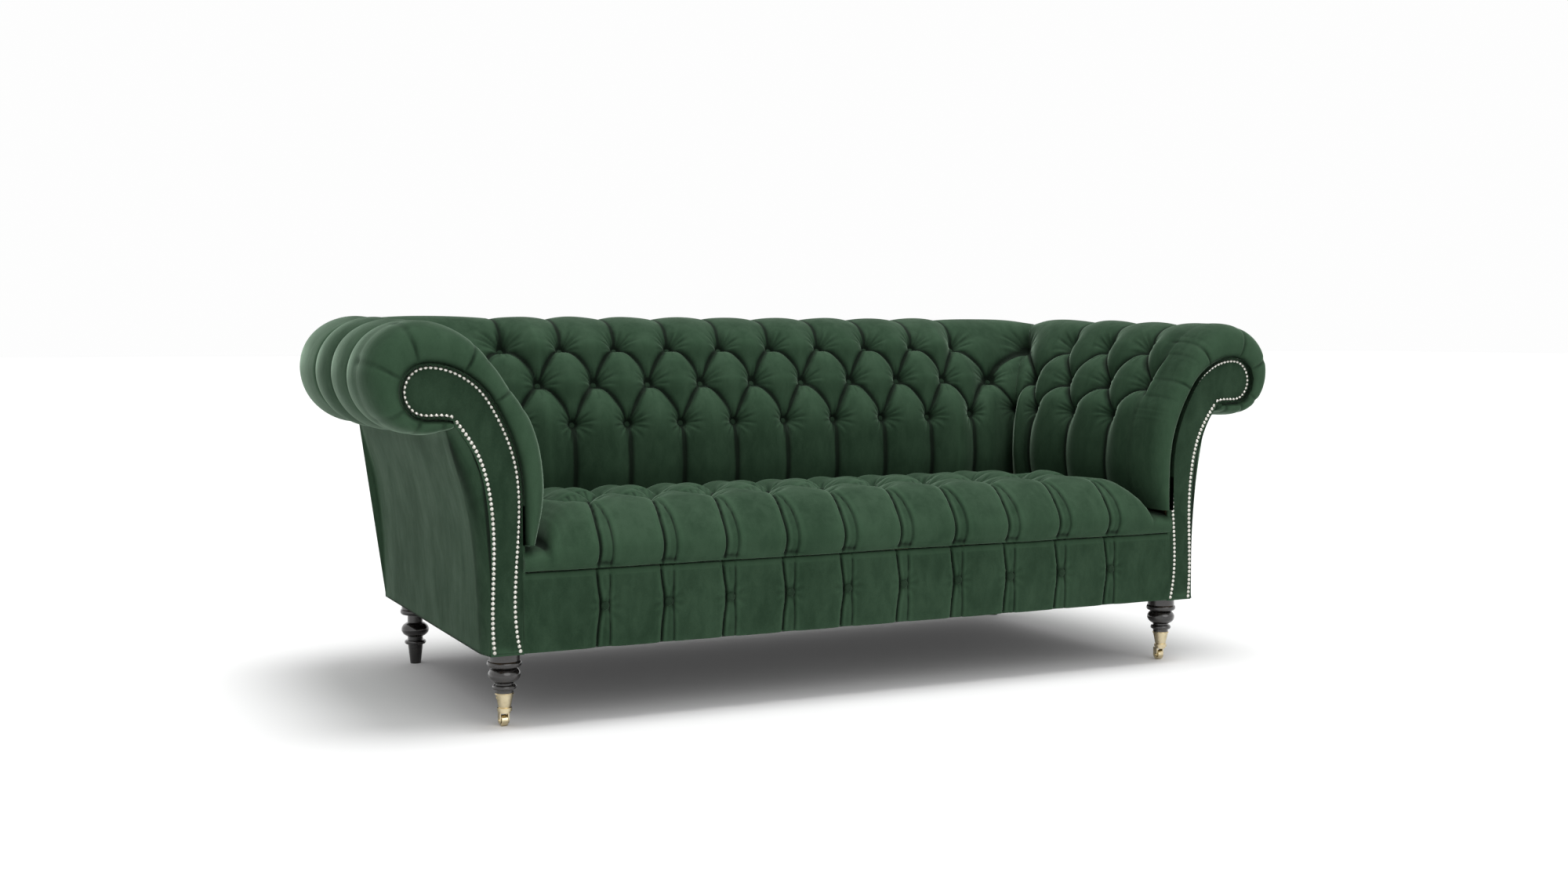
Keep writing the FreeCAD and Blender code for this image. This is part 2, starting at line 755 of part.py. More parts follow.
def rounded_bar(name, corner, extent):
    """A bar with its long edges rounded over."""
    bar = box(name + "_blank", corner, extent)
    document.recompute()
    item = document.addObject("Part::Fillet", name + "_round")
    item.Base = bar
    longest = max(edge.Length for edge in bar.Shape.Edges)
    long_edges = [n for n, edge in enumerate(bar.Shape.Edges, start=1) if edge.Length > longest - 0.01]
    radius = size("head_rail_round")
    item.Edges = [(n, radius, radius) for n in long_edges]
    return item


HEAD_X = "base_width / 2 + 100"
HEAD_Z = "arm_crest - 131"
BACK_HEAD_Y = f"{BASE_REAR} - 30"
BACK_HEAD_Z = "overall_height - 125"
STAY_Y = f"{BASE_REAR} - 228"
REAR_BOARD_Y = f"{BASE_REAR} - 204"
for side_name, side in SIDES:
    keep(
        rounded_bar(
            side_name + "_scroll",
            (
                low_corner(f"{HEAD_X} - head_rail_width / 2", "head_rail_width", side),
                BOARD_REAR,
                f"{HEAD_Z} - head_rail_height / 2",
            ),
            (
                "head_rail_width",
                f"({BACK_HEAD_Y}) + head_rail_width / 2 - ({BOARD_REAR})",
                "head_rail_height",
            ),
        ),
        side_name + "_arm_scroll_rail",
    )
    keep(
        box(
            side_name + "_stay",
            (
                low_corner(f"{BOARD_INNER} + arm_foot_width / 2", "stay_rail", side),
                BOARD_REAR,
                "pad_foot - stay_height",
            ),
            ("stay_rail", f"{REAR_BOARD_Y} - ({BOARD_REAR})", "stay_height"),
        ),
        side_name + "_arm_stay_rail",
    )
document.recompute()
scroll_rail = subparts[-2].Shape
rear_board = scroll_face(worked(REAR_BOARD_Y), size("nail_margin"), frame_foot + size("rail_height"))
rear_solid = rear_board.extrude(Vector(0, size("board"), 0)).cut(scroll_rail)
for side_name, side in SIDES:
    keep(feature(side_name + "_rear_board", sided(rear_solid, side)), side_name + "_arm_rear_board")
back_rail_half = f"{HEAD_X} - head_rail_width / 2"
keep(
    rounded_bar(
        "back_scroll",
        (
            f"-({back_rail_half})",
            f"{BACK_HEAD_Y} - head_rail_width / 2",
            f"{BACK_HEAD_Z} - head_rail_height / 2",
        ),
        (f"2 * ({back_rail_half})", "head_rail_width", "head_rail_height"),
    ),
    "back_scroll_rail",
)
keep(
    box(
        "back_stay",
        (f"-({BOARD_INNER})", STAY_Y, "pad_foot"),
        (f"2 * ({BOARD_INNER})", "stay_rail", "stay_height"),
    ),
    "back_stay_rail",
)
for side_name, side in SIDES:
    keep(
        box(
            side_name + "_post",
            (
                low_corner("post_spacing / 2", "post", side),
                f"{REAR_RAIL_REAR} - post",
                FRAME_TOP,
            ),
            ("post", "post", f"{BACK_HEAD_Z} - head_rail_height / 2 - ({FRAME_TOP})"),
        ),
        side_name + "_back_post",
    )
    tie_low = f"{STAY_Y} + stay_rail"
    keep(
        box(
            side_name + "_tie",
            (low_corner("post_spacing / 2", "post", side), tie_low, "pad_foot"),
            ("post", f"{REAR_RAIL_REAR} - post - ({tie_low})", "stay_height"),
        ),
        side_name + "_back_tie",
    )

# Seat springs and their clips

spring_level = worked(SPRING_HEIGHT)
rail_middle = {
    "front": worked(f"{FRONT_RAIL_FRONT} + front_rail / 2"),
    "rear": worked(f"{REAR_RAIL_FRONT} + rail / 2"),
}


def spring(x):
    """A sinuous spring: straight runs across and half-round bends, from rail to rail."""
    half = size("spring_straight") / 2
    span = rail_middle["rear"] - rail_middle["front"]
    turns = int(span // (2 * size("spring_bend")))
    bend = span / turns / 2
    y = rail_middle["front"]
    turned = 1
    edges = []
    for _ in range(turns):
        start = Vector(x - turned * half, y, spring_level)
        end = Vector(x + turned * half, y, spring_level)
        edges.append(Part.LineSegment(start, end).toShape())
        outermost = Vector(end.x + turned * bend, y + bend, spring_level)
        y += 2 * bend
        edges.append(Part.Arc(end, outermost, Vector(end.x, y, spring_level)).toShape())
        turned = -turned
    edges.append(
        Part.LineSegment(
            Vector(x - turned * half, y, spring_level), Vector(x + turned * half, y, spring_level)
        ).toShape()
    )
    path = Part.Wire(edges)
    section = Part.Circle(Vector(x - half, rail_middle["front"], spring_level), Vector(1, 0, 0), size("wire_radius"))
    return path.makePipeShell([Part.Wire(section.toShape())], True, False)


spring_count = int((2 * (base_half - size("arm_foot_width") * 2)) // size("spring_pitch"))
spring_x = [(n - (spring_count - 1) / 2) * size("spring_pitch") for n in range(spring_count)]
keep(feature("springs", Part.makeCompound([spring(x) for x in spring_x])), "seat_springs")

clips = []
frame_top = worked(FRAME_TOP)
clip_width = size("spring_straight") * 0.7
clip_length = size("front_rail") * 0.7
clip_height = size("wire_radius") * 2 + gap + size("clip_sheet")
slot_radius = size("wire_radius") + gap / 2
for x in spring_x:
    for end in ("front", "rear"):
        start = x - clip_width / 2
        middle = rail_middle[end]
        clip = Part.makeBox(
            clip_width, clip_length, clip_height, Vector(start, middle - clip_length / 2, frame_top)
        )
        slot = Part.makeCylinder(
            slot_radius, clip_width, Vector(start, middle, spring_level), Vector(1, 0, 0)
        ).fuse(
            Part.makeBox(
                clip_width,
                2 * slot_radius,
                spring_level - frame_top,
                Vector(start, middle - slot_radius, frame_top),
            )
        )
        clips.append(clip.cut(slot))
keep(feature("clips", Part.makeCompound(clips)), "spring_clips")

# Hessian over the springs, seat core, dust cover, outside back

SEAT_SIDE = f"{BOARD_INNER} - gap"
SEAT_REAR = f"{REAR_RAIL_REAR} - post - gap"
keep(
    box(
        "hessian_sheet",
        (f"-({SEAT_SIDE})", f"{FRONT_RAIL_FRONT} + gap", HESSIAN_FOOT),
        (f"2 * ({SEAT_SIDE})", f"{SEAT_REAR} - ({FRONT_RAIL_FRONT}) - gap", "hessian"),
    ),
    "seat_hessian",
)
keep(
    box(
        "core",
        (f"-({SEAT_SIDE})", f"{FRONT_RAIL_FRONT} + gap", CORE_FOOT),
        (f"2 * ({SEAT_SIDE})", f"{STAY_Y} + stay_rail - ({FRONT_RAIL_FRONT}) - gap", "core_height"),
    ),
    "seat_core",
)
DUST_SIDE = "base_width / 2 - cover"
dust = box(
    "dust_sheet",
    (f"-({DUST_SIDE})", FRONT_RAIL_FRONT, "underside"),
    (f"2 * ({DUST_SIDE})", f"{REAR_RAIL_REAR} - ({FRONT_RAIL_FRONT})", "dust_cover"),
)
leg_holes = [
    cylinder(
        f"{side_name}_{end_name}_dust_hole",
        "leg_top_radius + gap",
        "dust_cover * 2",
        (mirrored(LEG_X, side), leg_y, "underside - dust_cover / 2"),
    )
    for side_name, side, end_name, leg_y, rail_face, inward in screw_places
]
keep(cut("dust_sheet_holed", dust, group("dust_holes", leg_holes)), "dust_cover")

# Buttoned pads: outlines of their fullest form, and the tufts sewn into them
# Rows are numbered from 1 at the top of a back or arm, or at the front of the seat. Parts of a row
# lie between them, and an outline runs from its foot to its far edge.

PAD_ROWS = [5, 4, 3.5, 3, 2.5, 2, 1.5, 1, 0.5, 0, -0.5, -1, -1.5, -2, -2.5]
BUTTON_ROWS = (1, 2, 3)


def roll_arc(centre, radius, angles):
    """Points round a roll."""
    return [
        (centre[0] + radius * math.cos(math.radians(a)), centre[1] + radius * math.sin(math.radians(a)))
        for a in angles
    ]


pad_foot = size("pad_foot")
arm_roll = 106.5


def arm_points(roll_top, tuck=0):
    """An arm pad's outline, X and Z: the top of its roll at a height, its outer side tucked in."""
    radius = arm_roll + (roll_top - size("arm_crest")) / 2
    centre = (roll_side - radius - tuck / 2, roll_top - radius)
    inner = [(-320.5, pad_foot), (-342.5, 440), (-340.5, 509), (-326.5, 572), (-308.5, 609)]
    inner += [(-278.5, 648), (-257.5, 682), (-214.5, 735), (-172.5, roll_top - 14)]
    points = [(roll_side + across, height) for across, height in inner]
    points += [(centre[0], roll_top)]
    narrow = 1 - tuck / 2 / radius
    for across, height in roll_arc((0, centre[1]), radius, (45, 0, -45, -90)):
        points.append((centre[0] + across * narrow, height))
    points.append((base_half + 56, pad_foot + 219))
    return points


def back_points():
    """The back pad's outline in the middle of the back, Y and Z."""
    radius = 109
    centre = (roll_rear - radius, crest - radius)
    inner = [(-363, pad_foot), (-386, 440), (-384, 500), (-378, 555), (-358, 604)]
    inner += [(-335, 652), (-312, 695), (-286, 737), (-236, crest - 16)]
    points = [(roll_rear + across, height) for across, height in inner]
    points += [(centre[0] - 22, crest)]
    points += roll_arc(centre, radius, (45, 0, -45, -62))
    points.append((base_rear + 1, worked(f"{BACK_HEAD_Z} - 94")))
    return points


def arm_core():
    """The inner outline of an arm pad, which lies on the scroll boards."""
    points = offset_points(INNER_NAILS, size("nail_margin") + gap)[2:]
    x = points[0][0]
    return [(x, pad_foot), (x, (pad_foot + points[0][1]) / 2)] + points


def back_core():
    """The inner outline of the back pad, which lies on the webbing and goes round the scroll rail."""
    face = worked(f"{STAY_Y} - strap") - gap
    head = (worked(BACK_HEAD_Y), worked(BACK_HEAD_Z))
    stay_top = pad_foot + size("stay_height")
    rake = (head[0] - size("head_rail_width") / 2 - face) / (head[1] - stay_top)
    points = [(face, pad_foot), (face, pad_foot + size("stay_height") / 2), (face, stay_top)]
    points += [(face + rake * rise, stay_top + rise) for rise in (45, 90, 120, 150, 170, 190, 207, 225)]
    around = roll_arc(head, 46, (150, 127, 105, 82, 60, 30, 0, -20, -40))
    points += [((points[-1][0] + around[0][0]) / 2, (points[-1][1] + around[0][1]) / 2)] + around
    hung = [(base_rear + 2, head[1] - 44), (base_rear - 6, head[1] - 58)]
    for point in hung:
        points += [((points[-1][0] + point[0]) / 2, (points[-1][1] + point[1]) / 2), point]
    return points


def mixed(first, second, share):
    """Points part of the way from one outline to another."""
    return [(a + (c - a) * share, b + (d - b) * share) for (a, b), (c, d) in zip(first, second)]


def tuft(row, column, pleat, pit):
    """How far the sewn tufts draw the cover in: diamonds between the rows, pleats beyond them."""
    inside = min(max(row, BUTTON_ROWS[0]), BUTTON_ROWS[-1])
    rising = (column + (inside - 1) / 2) % 1
    falling = (column - (inside - 1) / 2) % 1
    pillow = math.sqrt(abs(math.sin(math.pi * rising) * math.sin(math.pi * falling)))
    beyond = abs(row - inside)
    button = (math.cos(math.pi * rising) * math.cos(math.pi * falling)) ** 8
    fade = max(1 - 0.24 * beyond, 0.2)
    return pleat * (1 - pillow) * fade + pit * button * max(1 - beyond / 0.35, 0)


class Pad:
    """An outline with its rows, from which points, depths and sections are taken."""

    def __init__(self, points, rows):
        self.curve = spline(points)
        self.places = [self.curve.parameter(Vector(a, b, 0)) for a, b in points]
        self.rows = rows
        self.stops = []
        for row, place_on in zip(rows, self.places):
            if row in BUTTON_ROWS:
                step = size("pit_flat") / self.curve.getD1(place_on)[1].Length
                self.stops += [(row, place_on - step), (row, place_on + step)]
            else:
                self.stops.append((row, place_on))

    def outline(self, depth):
        """Points along the outline drawn in by depth(row), one between each two stops."""
        points = []
        for (row, place_on), (next_row, next_place) in zip(self.stops, self.stops[1:]):
            points.append(beside(self.curve, place_on, -depth(row)))
            points.append(beside(self.curve, (place_on + next_place) / 2, -depth((row + next_row) / 2)))
        points.append(beside(self.curve, self.stops[-1][1], -depth(self.stops[-1][0])))
        return points

    def button(self, row, depth):
        """The floor of a button's pit and the direction out of it."""
        place_on = self.places[self.rows.index(row)]
        point = beside(self.curve, place_on, -depth)
        out = beside(self.curve, place_on, 1)
        base = beside(self.curve, place_on, 0)
        return point, (out[0] - base[0], out[1] - base[1])


def closed(outline, core, lay):
    """A section: the sewn outline and the core, laid in its plane by a function."""
    outer = [lay(*point) for point in outline]
    inner = [lay(*point) for point in reversed(core)]
    edges = chain(outer) + [Part.LineSegment(outer[-1], inner[0]).toShape()]
    edges += chain(inner) + [Part.LineSegment(inner[-1], outer[0]).toShape()]
    return Part.Wire(edges)


def stations(first, last, columns):
    """Places along a pad: both sides of every button's column, half way between, and its ends."""
    flat = columns["flat"]
    half_columns = range(math.ceil(2 * first), math.floor(2 * last) + 1)
    places = {first: first, last: last}
    for number in half_columns:
        column = number / 2
        for place_on in (column - flat, column + flat):
            if first < place_on < last:
                places[place_on] = column
        if first < column + 0.25 < last:
            places[column + 0.25] = column + 0.25
    return sorted(places.items())


def loft(sections):
    """A solid through closed sections, each pair joined by straight lines."""
    return Part.makeLoft(sections, True, True)


def button_on(point, direction, lift=0):
    """A covered button set down at a pit's floor, lifted where the floor tilts."""
    return set_on(button, point + direction * (gap + lift), direction)


button = dome(size("button_radius"), size("button_rise") / 2, size("button_rise") / 2)
flat_share = {"back": size("pit_flat") / size("back_pitch"), "arm": size("pit_flat") / size("arm_pitch")}

# Arm pads, from the rounded front of the roll to the corner seam

NOSE_STEPS = (0, 0.03, 0.12, 0.3, 0.6)
ARM_CORNER = 3
arm_pitch = size("arm_pitch")
arm_first = base_front + size("arm_first")
nose_front = base_front + size("velvet")
nose_column = (nose_front + size("nose_length") - arm_first) / arm_pitch
arm_straight = 2 + flat_share["arm"] * 1.1


def arm_outline(column):
    """The arm pad's fullest outline at a column."""
    share = (column - nose_column) / (ARM_CORNER - nose_column)
    turned = (max(column - arm_straight, 0) / (ARM_CORNER - arm_straight)) ** 2
    rising = mixed(arm_points(size("arm_crest")), arm_points(crest), share)
    return Pad(mixed(rising, arm_points(crest, size("corner_tuck")), turned), PAD_ROWS)


def seam_drawn(row):
    """How far a corner seam is drawn in: less round the back of the roll and at the foot."""
    return size("seam_depth") * min(max(1 + 0.8 * row, 0), max(1 - 0.45 * (row - 3), 0.1), 1)


def arm_depth(column):
    """How far the arm pad is drawn in at a column, as a function of the row."""
    if column >= ARM_CORNER:
        return seam_drawn
    front = min(max((column - nose_column) / 0.4, 0), 1)
    return lambda row: front * tuft(row, column, size("pleat_depth"), size("pit_depth"))


def arm_plane(column):
    """Lays a section of the arm pad: straight across the arm, then fanned round to the corner seam."""
    fan = max(column - arm_straight, 0) / (ARM_CORNER - arm_straight)
    straight = arm_first + min(column, arm_straight) * arm_pitch

    def lay(x, z):
        return Vector(x, straight * (1 - fan) + (x - mitre_offset - size("mitre_gap") / 2) * fan, z)

    return lay


arm_core_points = arm_core()
rim_curve = nail_line[0]
rim = size("nail_margin") + gap + size("nose_rim")
full_nose = arm_outline(nose_column).outline(arm_depth(nose_column))
nose = [beside(rim_curve, nearest(rim_curve, Vector(a, b, 0)), rim) for a, b in full_nose]
arm_sections = []
for step in NOSE_STEPS:
    bulge = math.sqrt(1 - (1 - step) ** 2)
    y = nose_front + step * size("nose_length")
    arm_sections.append(
        closed(mixed(nose, full_nose, bulge), arm_core_points, lambda x, z: Vector(x, y, z))
    )
arm_columns = stations(nose_column, ARM_CORNER, {"flat": flat_share["arm"]})
for place_on, column in arm_columns:
    outline = arm_outline(place_on).outline(arm_depth(column))
    arm_sections.append(closed(outline, arm_core_points, arm_plane(place_on)))
rail_end = Part.makeBox(
    100,
    size("stay_rail") + 2 * gap + size("strap"),
    size("stay_height") + 2 * gap,
    Vector(worked(BOARD_INNER) - 99, worked(STAY_Y) - gap - size("strap"), pad_foot - gap),
)
arm_pad = loft(arm_sections).cut(rail_end)

arm_buttons = []
for row in BUTTON_ROWS:
    for column in ((-0.5, 0.5, 1.5, 2.5) if row == 2 else (0, 1, 2)):
        point, direction = arm_outline(column).button(row, arm_depth(column)(row))
        lay = arm_plane(column)
        arm_buttons.append(button_on(lay(*point), Vector(direction[0], 0, direction[1])))

# Back pad, between the two corner seams

BACK_CORNER = 5.5
back_pitch = size("back_pitch")
back_straight = 4.5 + flat_share["back"] * 1.1
back_middle = back_points()
back_core_middle = back_core()
back_core_end = [(x - mitre_offset, z) for x, z in arm_core_points[4:-6]]
back_core_end = back_core_middle[:3] + [((back_core_middle[2][0] + back_core_end[0][0]) / 2, 444)] + back_core_end
tail_start, tail_end = back_core_end[-1], back_core_middle[-1]
back_core_end += [mixed([tail_start], [tail_end], step / 6)[0] for step in range(1, 7)]


def back_end(tuck):
    """The back pad's outline at a corner seam: an arm's, but hung from the outside back."""
    points = [(x - mitre_offset, z) for x, z in arm_points(crest, tuck)]
    return points[:-2] + [(base_rear + 7, points[-2][1] + 18), back_middle[-1]]


def corner_share(column):
    """How far the back has turned into the corner's outline."""
    return max(abs(column) - 4, 0) / (BACK_CORNER - 4)


def back_outline(column):
    """The back pad's fullest outline at a column."""
    turned = (max(abs(column) - back_straight, 0) / (BACK_CORNER - back_straight)) ** 2
    turning = mixed(back_middle, back_end(0), corner_share(column))
    return Pad(mixed(turning, back_end(size("corner_tuck")), turned), PAD_ROWS)


def back_depth(column):
    if abs(column) >= BACK_CORNER:
        return seam_drawn
    return lambda row: tuft(row, column + 0.5, size("pleat_depth"), size("pit_depth"))


def back_plane(column):
    """Lays a section of the back pad: straight, then fanned round to a corner seam."""
    side = math.copysign(1, column)
    fan = max(abs(column) - back_straight, 0) / (BACK_CORNER - back_straight)
    straight = min(abs(column), back_straight) * back_pitch

    def lay(y, z):
        return Vector(side * (straight * (1 - fan) + (y + mitre_offset - size("mitre_gap") / 2) * fan), y, z)

    return lay


back_sections = []
for place_on, column in stations(-BACK_CORNER, BACK_CORNER, {"flat": flat_share["back"]}):
    core = mixed(back_core_middle, back_core_end, corner_share(place_on))
    outline = back_outline(place_on).outline(back_depth(column))
    back_sections.append(closed(outline, core, back_plane(place_on)))
back_pad = loft(back_sections)

back_buttons = []
for row in BUTTON_ROWS:
    for column in [n for n in range(-5, 6)] if row == 2 else [n + 0.5 for n in range(-5, 5)]:
        point, direction = back_outline(column).button(row, back_depth(column)(row))
        lift = 6 * gap if abs(column) >= 4.5 else 0
        back_buttons.append(button_on(back_plane(column)(*point), Vector(0, *direction), lift))

# Seat pad: the front roll, the buttoned top and the thin sides under the arms

SEAT_ROWS = PAD_ROWS[::-1]
lip = size("border")
seam = size("seam_height")
seat_foot = worked(CORE_TOP) + gap
seat_side = worked(SEAT_SIDE)
SEAT_TOP = [(-2, seam + gap), (-15, 315), (-22, 342), (-11, 370), (14, 398), (48, 420), (88, 430)]
SEAT_TOP += [(138, 431), (203, 433), (268, 431), (333, 427), (398, 422), (460, 414), (520, 400), (528, 345)]
SEAT_END = [(-2, seam + gap), (-9, 308), (-13, 317), (-12, 326), (-6, 334), (14, 341), (60, 345)]
SEAT_END += [(138, 347), (203, 347.5), (268, 347.5), (333, 347.5), (398, 347.5), (460, 347), (520, 344), (528, 336)]
SEAT_SIDE_STEPS = ((100, 0.2), (62, 0.45), (55, 1.0), (0, 1.0))
seat_core_line = [(lip, seam + gap), (lip, (seam + seat_foot) / 2), (lip, seat_foot)]
seat_core_line += [(SEAT_TOP[-1][0] / 2, seat_foot), (SEAT_TOP[-1][0], seat_foot)]
seat_straight = 4.5 + flat_share["back"] * 1.1


def seat_depth(column):
    return lambda row: 1.15 * tuft(row, column + 0.5, size("pleat_depth"), size("pit_depth"))


def seat_section(x, outline):
    return closed(outline, seat_core_line, lambda y, z: Vector(x, base_front + y, z))


seat_half = []
for inset, share in SEAT_SIDE_STEPS:
    outline = Pad(mixed(SEAT_TOP, SEAT_END, share), SEAT_ROWS).outline(lambda row: 0)
    seat_half.append((seat_side - inset, outline))
seat_pad_outline = Pad(SEAT_TOP, SEAT_ROWS)
seat_sections = [seat_section(-x, outline) for x, outline in reversed(seat_half)]
for place_on, column in stations(-seat_straight, seat_straight, {"flat": flat_share["back"]}):
    seat_sections.append(seat_section(place_on * back_pitch, seat_pad_outline.outline(seat_depth(column))))
seat_sections += [seat_section(x, outline) for x, outline in seat_half]
seat_pad = loft(seat_sections)

seat_buttons = []
for row in BUTTON_ROWS:
    for column in [n for n in range(-4, 5)] if row == 2 else [n + 0.5 for n in range(-5, 5)]:
        point, direction = seat_pad_outline.button(row, seat_depth(column)(row))
        place_on = Vector(column * back_pitch, base_front + point[0], point[1])
        seat_buttons.append(button_on(place_on, Vector(0, *direction)))

# Front border, pleated from each button up to the seam and down to the underside

BORDER_ROWS = [1.9, 1.6, 1.3, 1, 0.7, 0.4, 0.1]
button_level = size("border_button_height")
crown = size("border_crown")
BORDER_FRONT = [(0, frame_foot), (-0.7 * crown, frame_foot + 28), (-crown, button_level - 24)]
BORDER_FRONT += [(-crown, button_level), (-crown, button_level + 24), (-0.7 * crown, seam - 20)]
BORDER_FRONT += [(0, seam - gap)]
border_outline = Pad(BORDER_FRONT, BORDER_ROWS)
border_core = [(lip, frame_foot), (lip, button_level), (lip, seam - gap)]


def border_depth(column):
    pleat = 1 - math.sqrt(abs(math.sin(math.pi * (column + 0.5))))
    return lambda row: 4 * pleat + (3 * pleat**4 if row == 1 else 0)


border_sections = []
border_end = seat_side / back_pitch
for place_on, column in stations(-border_end, border_end, {"flat": flat_share["back"]}):
    x = place_on * back_pitch
    border_sections.append(
        closed(border_outline.outline(border_depth(column)), border_core, lambda y, z: Vector(x, base_front + y, z))
    )
front_border = loft(border_sections)
border_buttons = []
for column in [n + 0.5 for n in range(-5, 5)]:
    point, direction = border_outline.button(1, border_depth(column)(1))
    place_on = Vector(column * back_pitch, base_front + point[0], point[1])
    border_buttons.append(button_on(place_on, Vector(0, *direction)))

keep(feature("seat_pad_form", seat_pad), "seat_pad")
keep(feature("seat_button_form", Part.makeCompound(seat_buttons)), "seat_buttons")
keep(feature("front_border_form", front_border), "front_border")
keep(feature("border_button_form", Part.makeCompound(border_buttons)), "border_buttons")
keep(feature("back_pad_form", back_pad), "back_pad")
keep(feature("back_button_form", Part.makeCompound(back_buttons)), "back_buttons")

# Outside arm covers, drawn in to the facings at the front

COVER_FULL = [(0, frame_foot), (4, 250), (9, 329), (25, 438), (43, 506), (53, 545), (58, 566)]
COVER_EDGE = [(-7.8, frame_foot), (-7.8, 250), (-7.6, 329), (-4, 438), (12.5, 506), (30.5, 545), (43, 566)]


def cover_section(y, inner, thickness):
    outer = [Vector(base_half + a + thickness, y, b) for a, b in inner]
    inner = [Vector(base_half + a, y, b) for a, b in reversed(inner)]
    edges = chain(outer) + [Part.LineSegment(outer[-1], inner[0]).toShape()]
    edges += chain(inner) + [Part.LineSegment(inner[-1], outer[0]).toShape()]
    return Part.Wire(edges)


inside_cover = [(a - size("cover"), b) for a, b in COVER_FULL]
back_edge = [Vector(base_half + a, base_rear - size("cover"), b) for a, b in COVER_FULL]
back_side = chain(back_edge)
back_other = [edge.mirror(Vector(), Vector(1, 0, 0)) for edge in back_side]
across = [
    Part.LineSegment(Vector(-end.x, end.y, end.z), end).toShape() for end in (back_edge[0], back_edge[-1])
]
back_face = Part.Face(Part.Wire(Part.sortEdges(back_side + back_other + across)[0]))
keep(feature("back_panel", back_face.extrude(Vector(0, size("cover"), 0))), "outside_back_cover")
cover_run = [
    cover_section(base_front + 1, COVER_EDGE, 3),
    cover_section(base_front + 45, inside_cover, size("cover")),
    cover_section(base_rear - size("cover") - gap, inside_cover, size("cover")),
]
outside_arm = loft(cover_run)

# Webbing of the back, from the stay rail to the scroll rail

strap_foot = Vector(0, worked(STAY_Y), pad_foot + size("stay_height") / 2)
strap_head = Vector(0, worked(f"{BACK_HEAD_Y} - head_rail_width / 2"), worked(BACK_HEAD_Z))
strap_corner = Vector(0, strap_foot.y, pad_foot + size("stay_height"))
strap_upper = Vector(0, strap_head.y, strap_head.z - size("head_rail_height") / 2 + size("head_rail_round"))


def strap(x):
    """A webbing strap: up the stay rail, back to the scroll rail and up its face."""
    forward = Vector(0, -size("strap"), 0)
    line = [strap_foot, strap_corner, strap_upper, strap_head]
    loop = line + [point + forward for point in reversed(line)] + [strap_foot]
    half = Vector(size("strap_width") / 2, 0, 0)
    face = Part.Face(Part.makePolygon([point + Vector(x, 0, 0) - half for point in loop]))
    return face.extrude(half * 2)


strap_count = int(2 * worked(BOARD_INNER) // size("strap_pitch"))
straps = [strap((n - (strap_count - 1) / 2) * size("strap_pitch")) for n in range(strap_count)]
keep(feature("straps", Part.makeCompound(straps)), "back_webbing")

for side_name, side in SIDES:
    keep(feature(side_name + "_arm_pad_form", sided(arm_pad, side)), side_name + "_arm_pad")
    buttons = Part.makeCompound([sided(one, side) for one in arm_buttons])
    keep(feature(side_name + "_arm_button_form", buttons), side_name + "_arm_buttons")
    keep(feature(side_name + "_outside_arm", sided(outside_arm, side)), side_name + "_outside_arm_cover")

# Checks, then one file to a sub-part

document.recompute()
for item in document.Objects:
    faults = {"Invalid", "Error"} & set(item.State)
    if faults:
        raise RuntimeError(f"{item.Name}: {sorted(faults)}")
for item in subparts:
    if item.Shape.isNull() or not item.Shape.isValid():
        raise RuntimeError(f"{item.Label}: its shape isn't valid")

os.makedirs("parts", exist_ok=True)
for item in subparts:
    item.Shape.exportStep(os.path.join("parts", item.Label + ".step"))
    low, high = item.Shape.BoundBox.ZMin, item.Shape.BoundBox.ZMax
    print(f"{item.Label}: {len(item.Shape.Solids)} solids, {item.Shape.Volume / 1000:.0f} cm3, z {low:.1f} to {high:.1f}")
print(len(subparts), "sub-parts")
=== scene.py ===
"""Dresses a deep-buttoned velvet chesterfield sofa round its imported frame.

Each operator makes one piece or one group of like pieces, in metres and in the frame's axes:
X along the sofa, Y to its back, Z up. Outlines are in millimetres and are scaled as they are used.
"""

import json
import math

import bmesh
import bpy
import numpy as np
from bpy.props import FloatProperty, FloatVectorProperty, PointerProperty
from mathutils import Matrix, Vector


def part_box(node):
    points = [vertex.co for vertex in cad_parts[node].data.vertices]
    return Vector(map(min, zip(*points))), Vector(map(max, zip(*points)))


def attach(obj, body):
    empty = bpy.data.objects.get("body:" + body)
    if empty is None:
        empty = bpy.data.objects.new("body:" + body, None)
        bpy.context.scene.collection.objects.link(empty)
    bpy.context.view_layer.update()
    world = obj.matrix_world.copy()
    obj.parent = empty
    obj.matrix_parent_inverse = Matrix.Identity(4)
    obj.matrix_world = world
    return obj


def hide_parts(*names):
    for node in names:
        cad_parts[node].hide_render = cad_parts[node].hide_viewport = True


bl_info = {
    "name": "Velvet chesterfield",
    "version": (1, 0, 0),
    "blender": (4, 5, 0),
    "location": "3D View > Sidebar > Sofa",
    "description": "Upholstery, finishes and studio of a deep-buttoned velvet sofa",
    "category": "Object",
}

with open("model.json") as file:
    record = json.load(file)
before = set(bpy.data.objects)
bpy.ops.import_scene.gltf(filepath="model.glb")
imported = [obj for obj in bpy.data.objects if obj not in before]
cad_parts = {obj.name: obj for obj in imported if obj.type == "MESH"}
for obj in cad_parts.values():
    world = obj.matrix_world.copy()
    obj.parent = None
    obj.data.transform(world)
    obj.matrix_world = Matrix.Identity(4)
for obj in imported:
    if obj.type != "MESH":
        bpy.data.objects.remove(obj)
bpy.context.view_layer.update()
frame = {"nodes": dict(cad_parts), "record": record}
NODES = frame["nodes"]
MM = 0.001

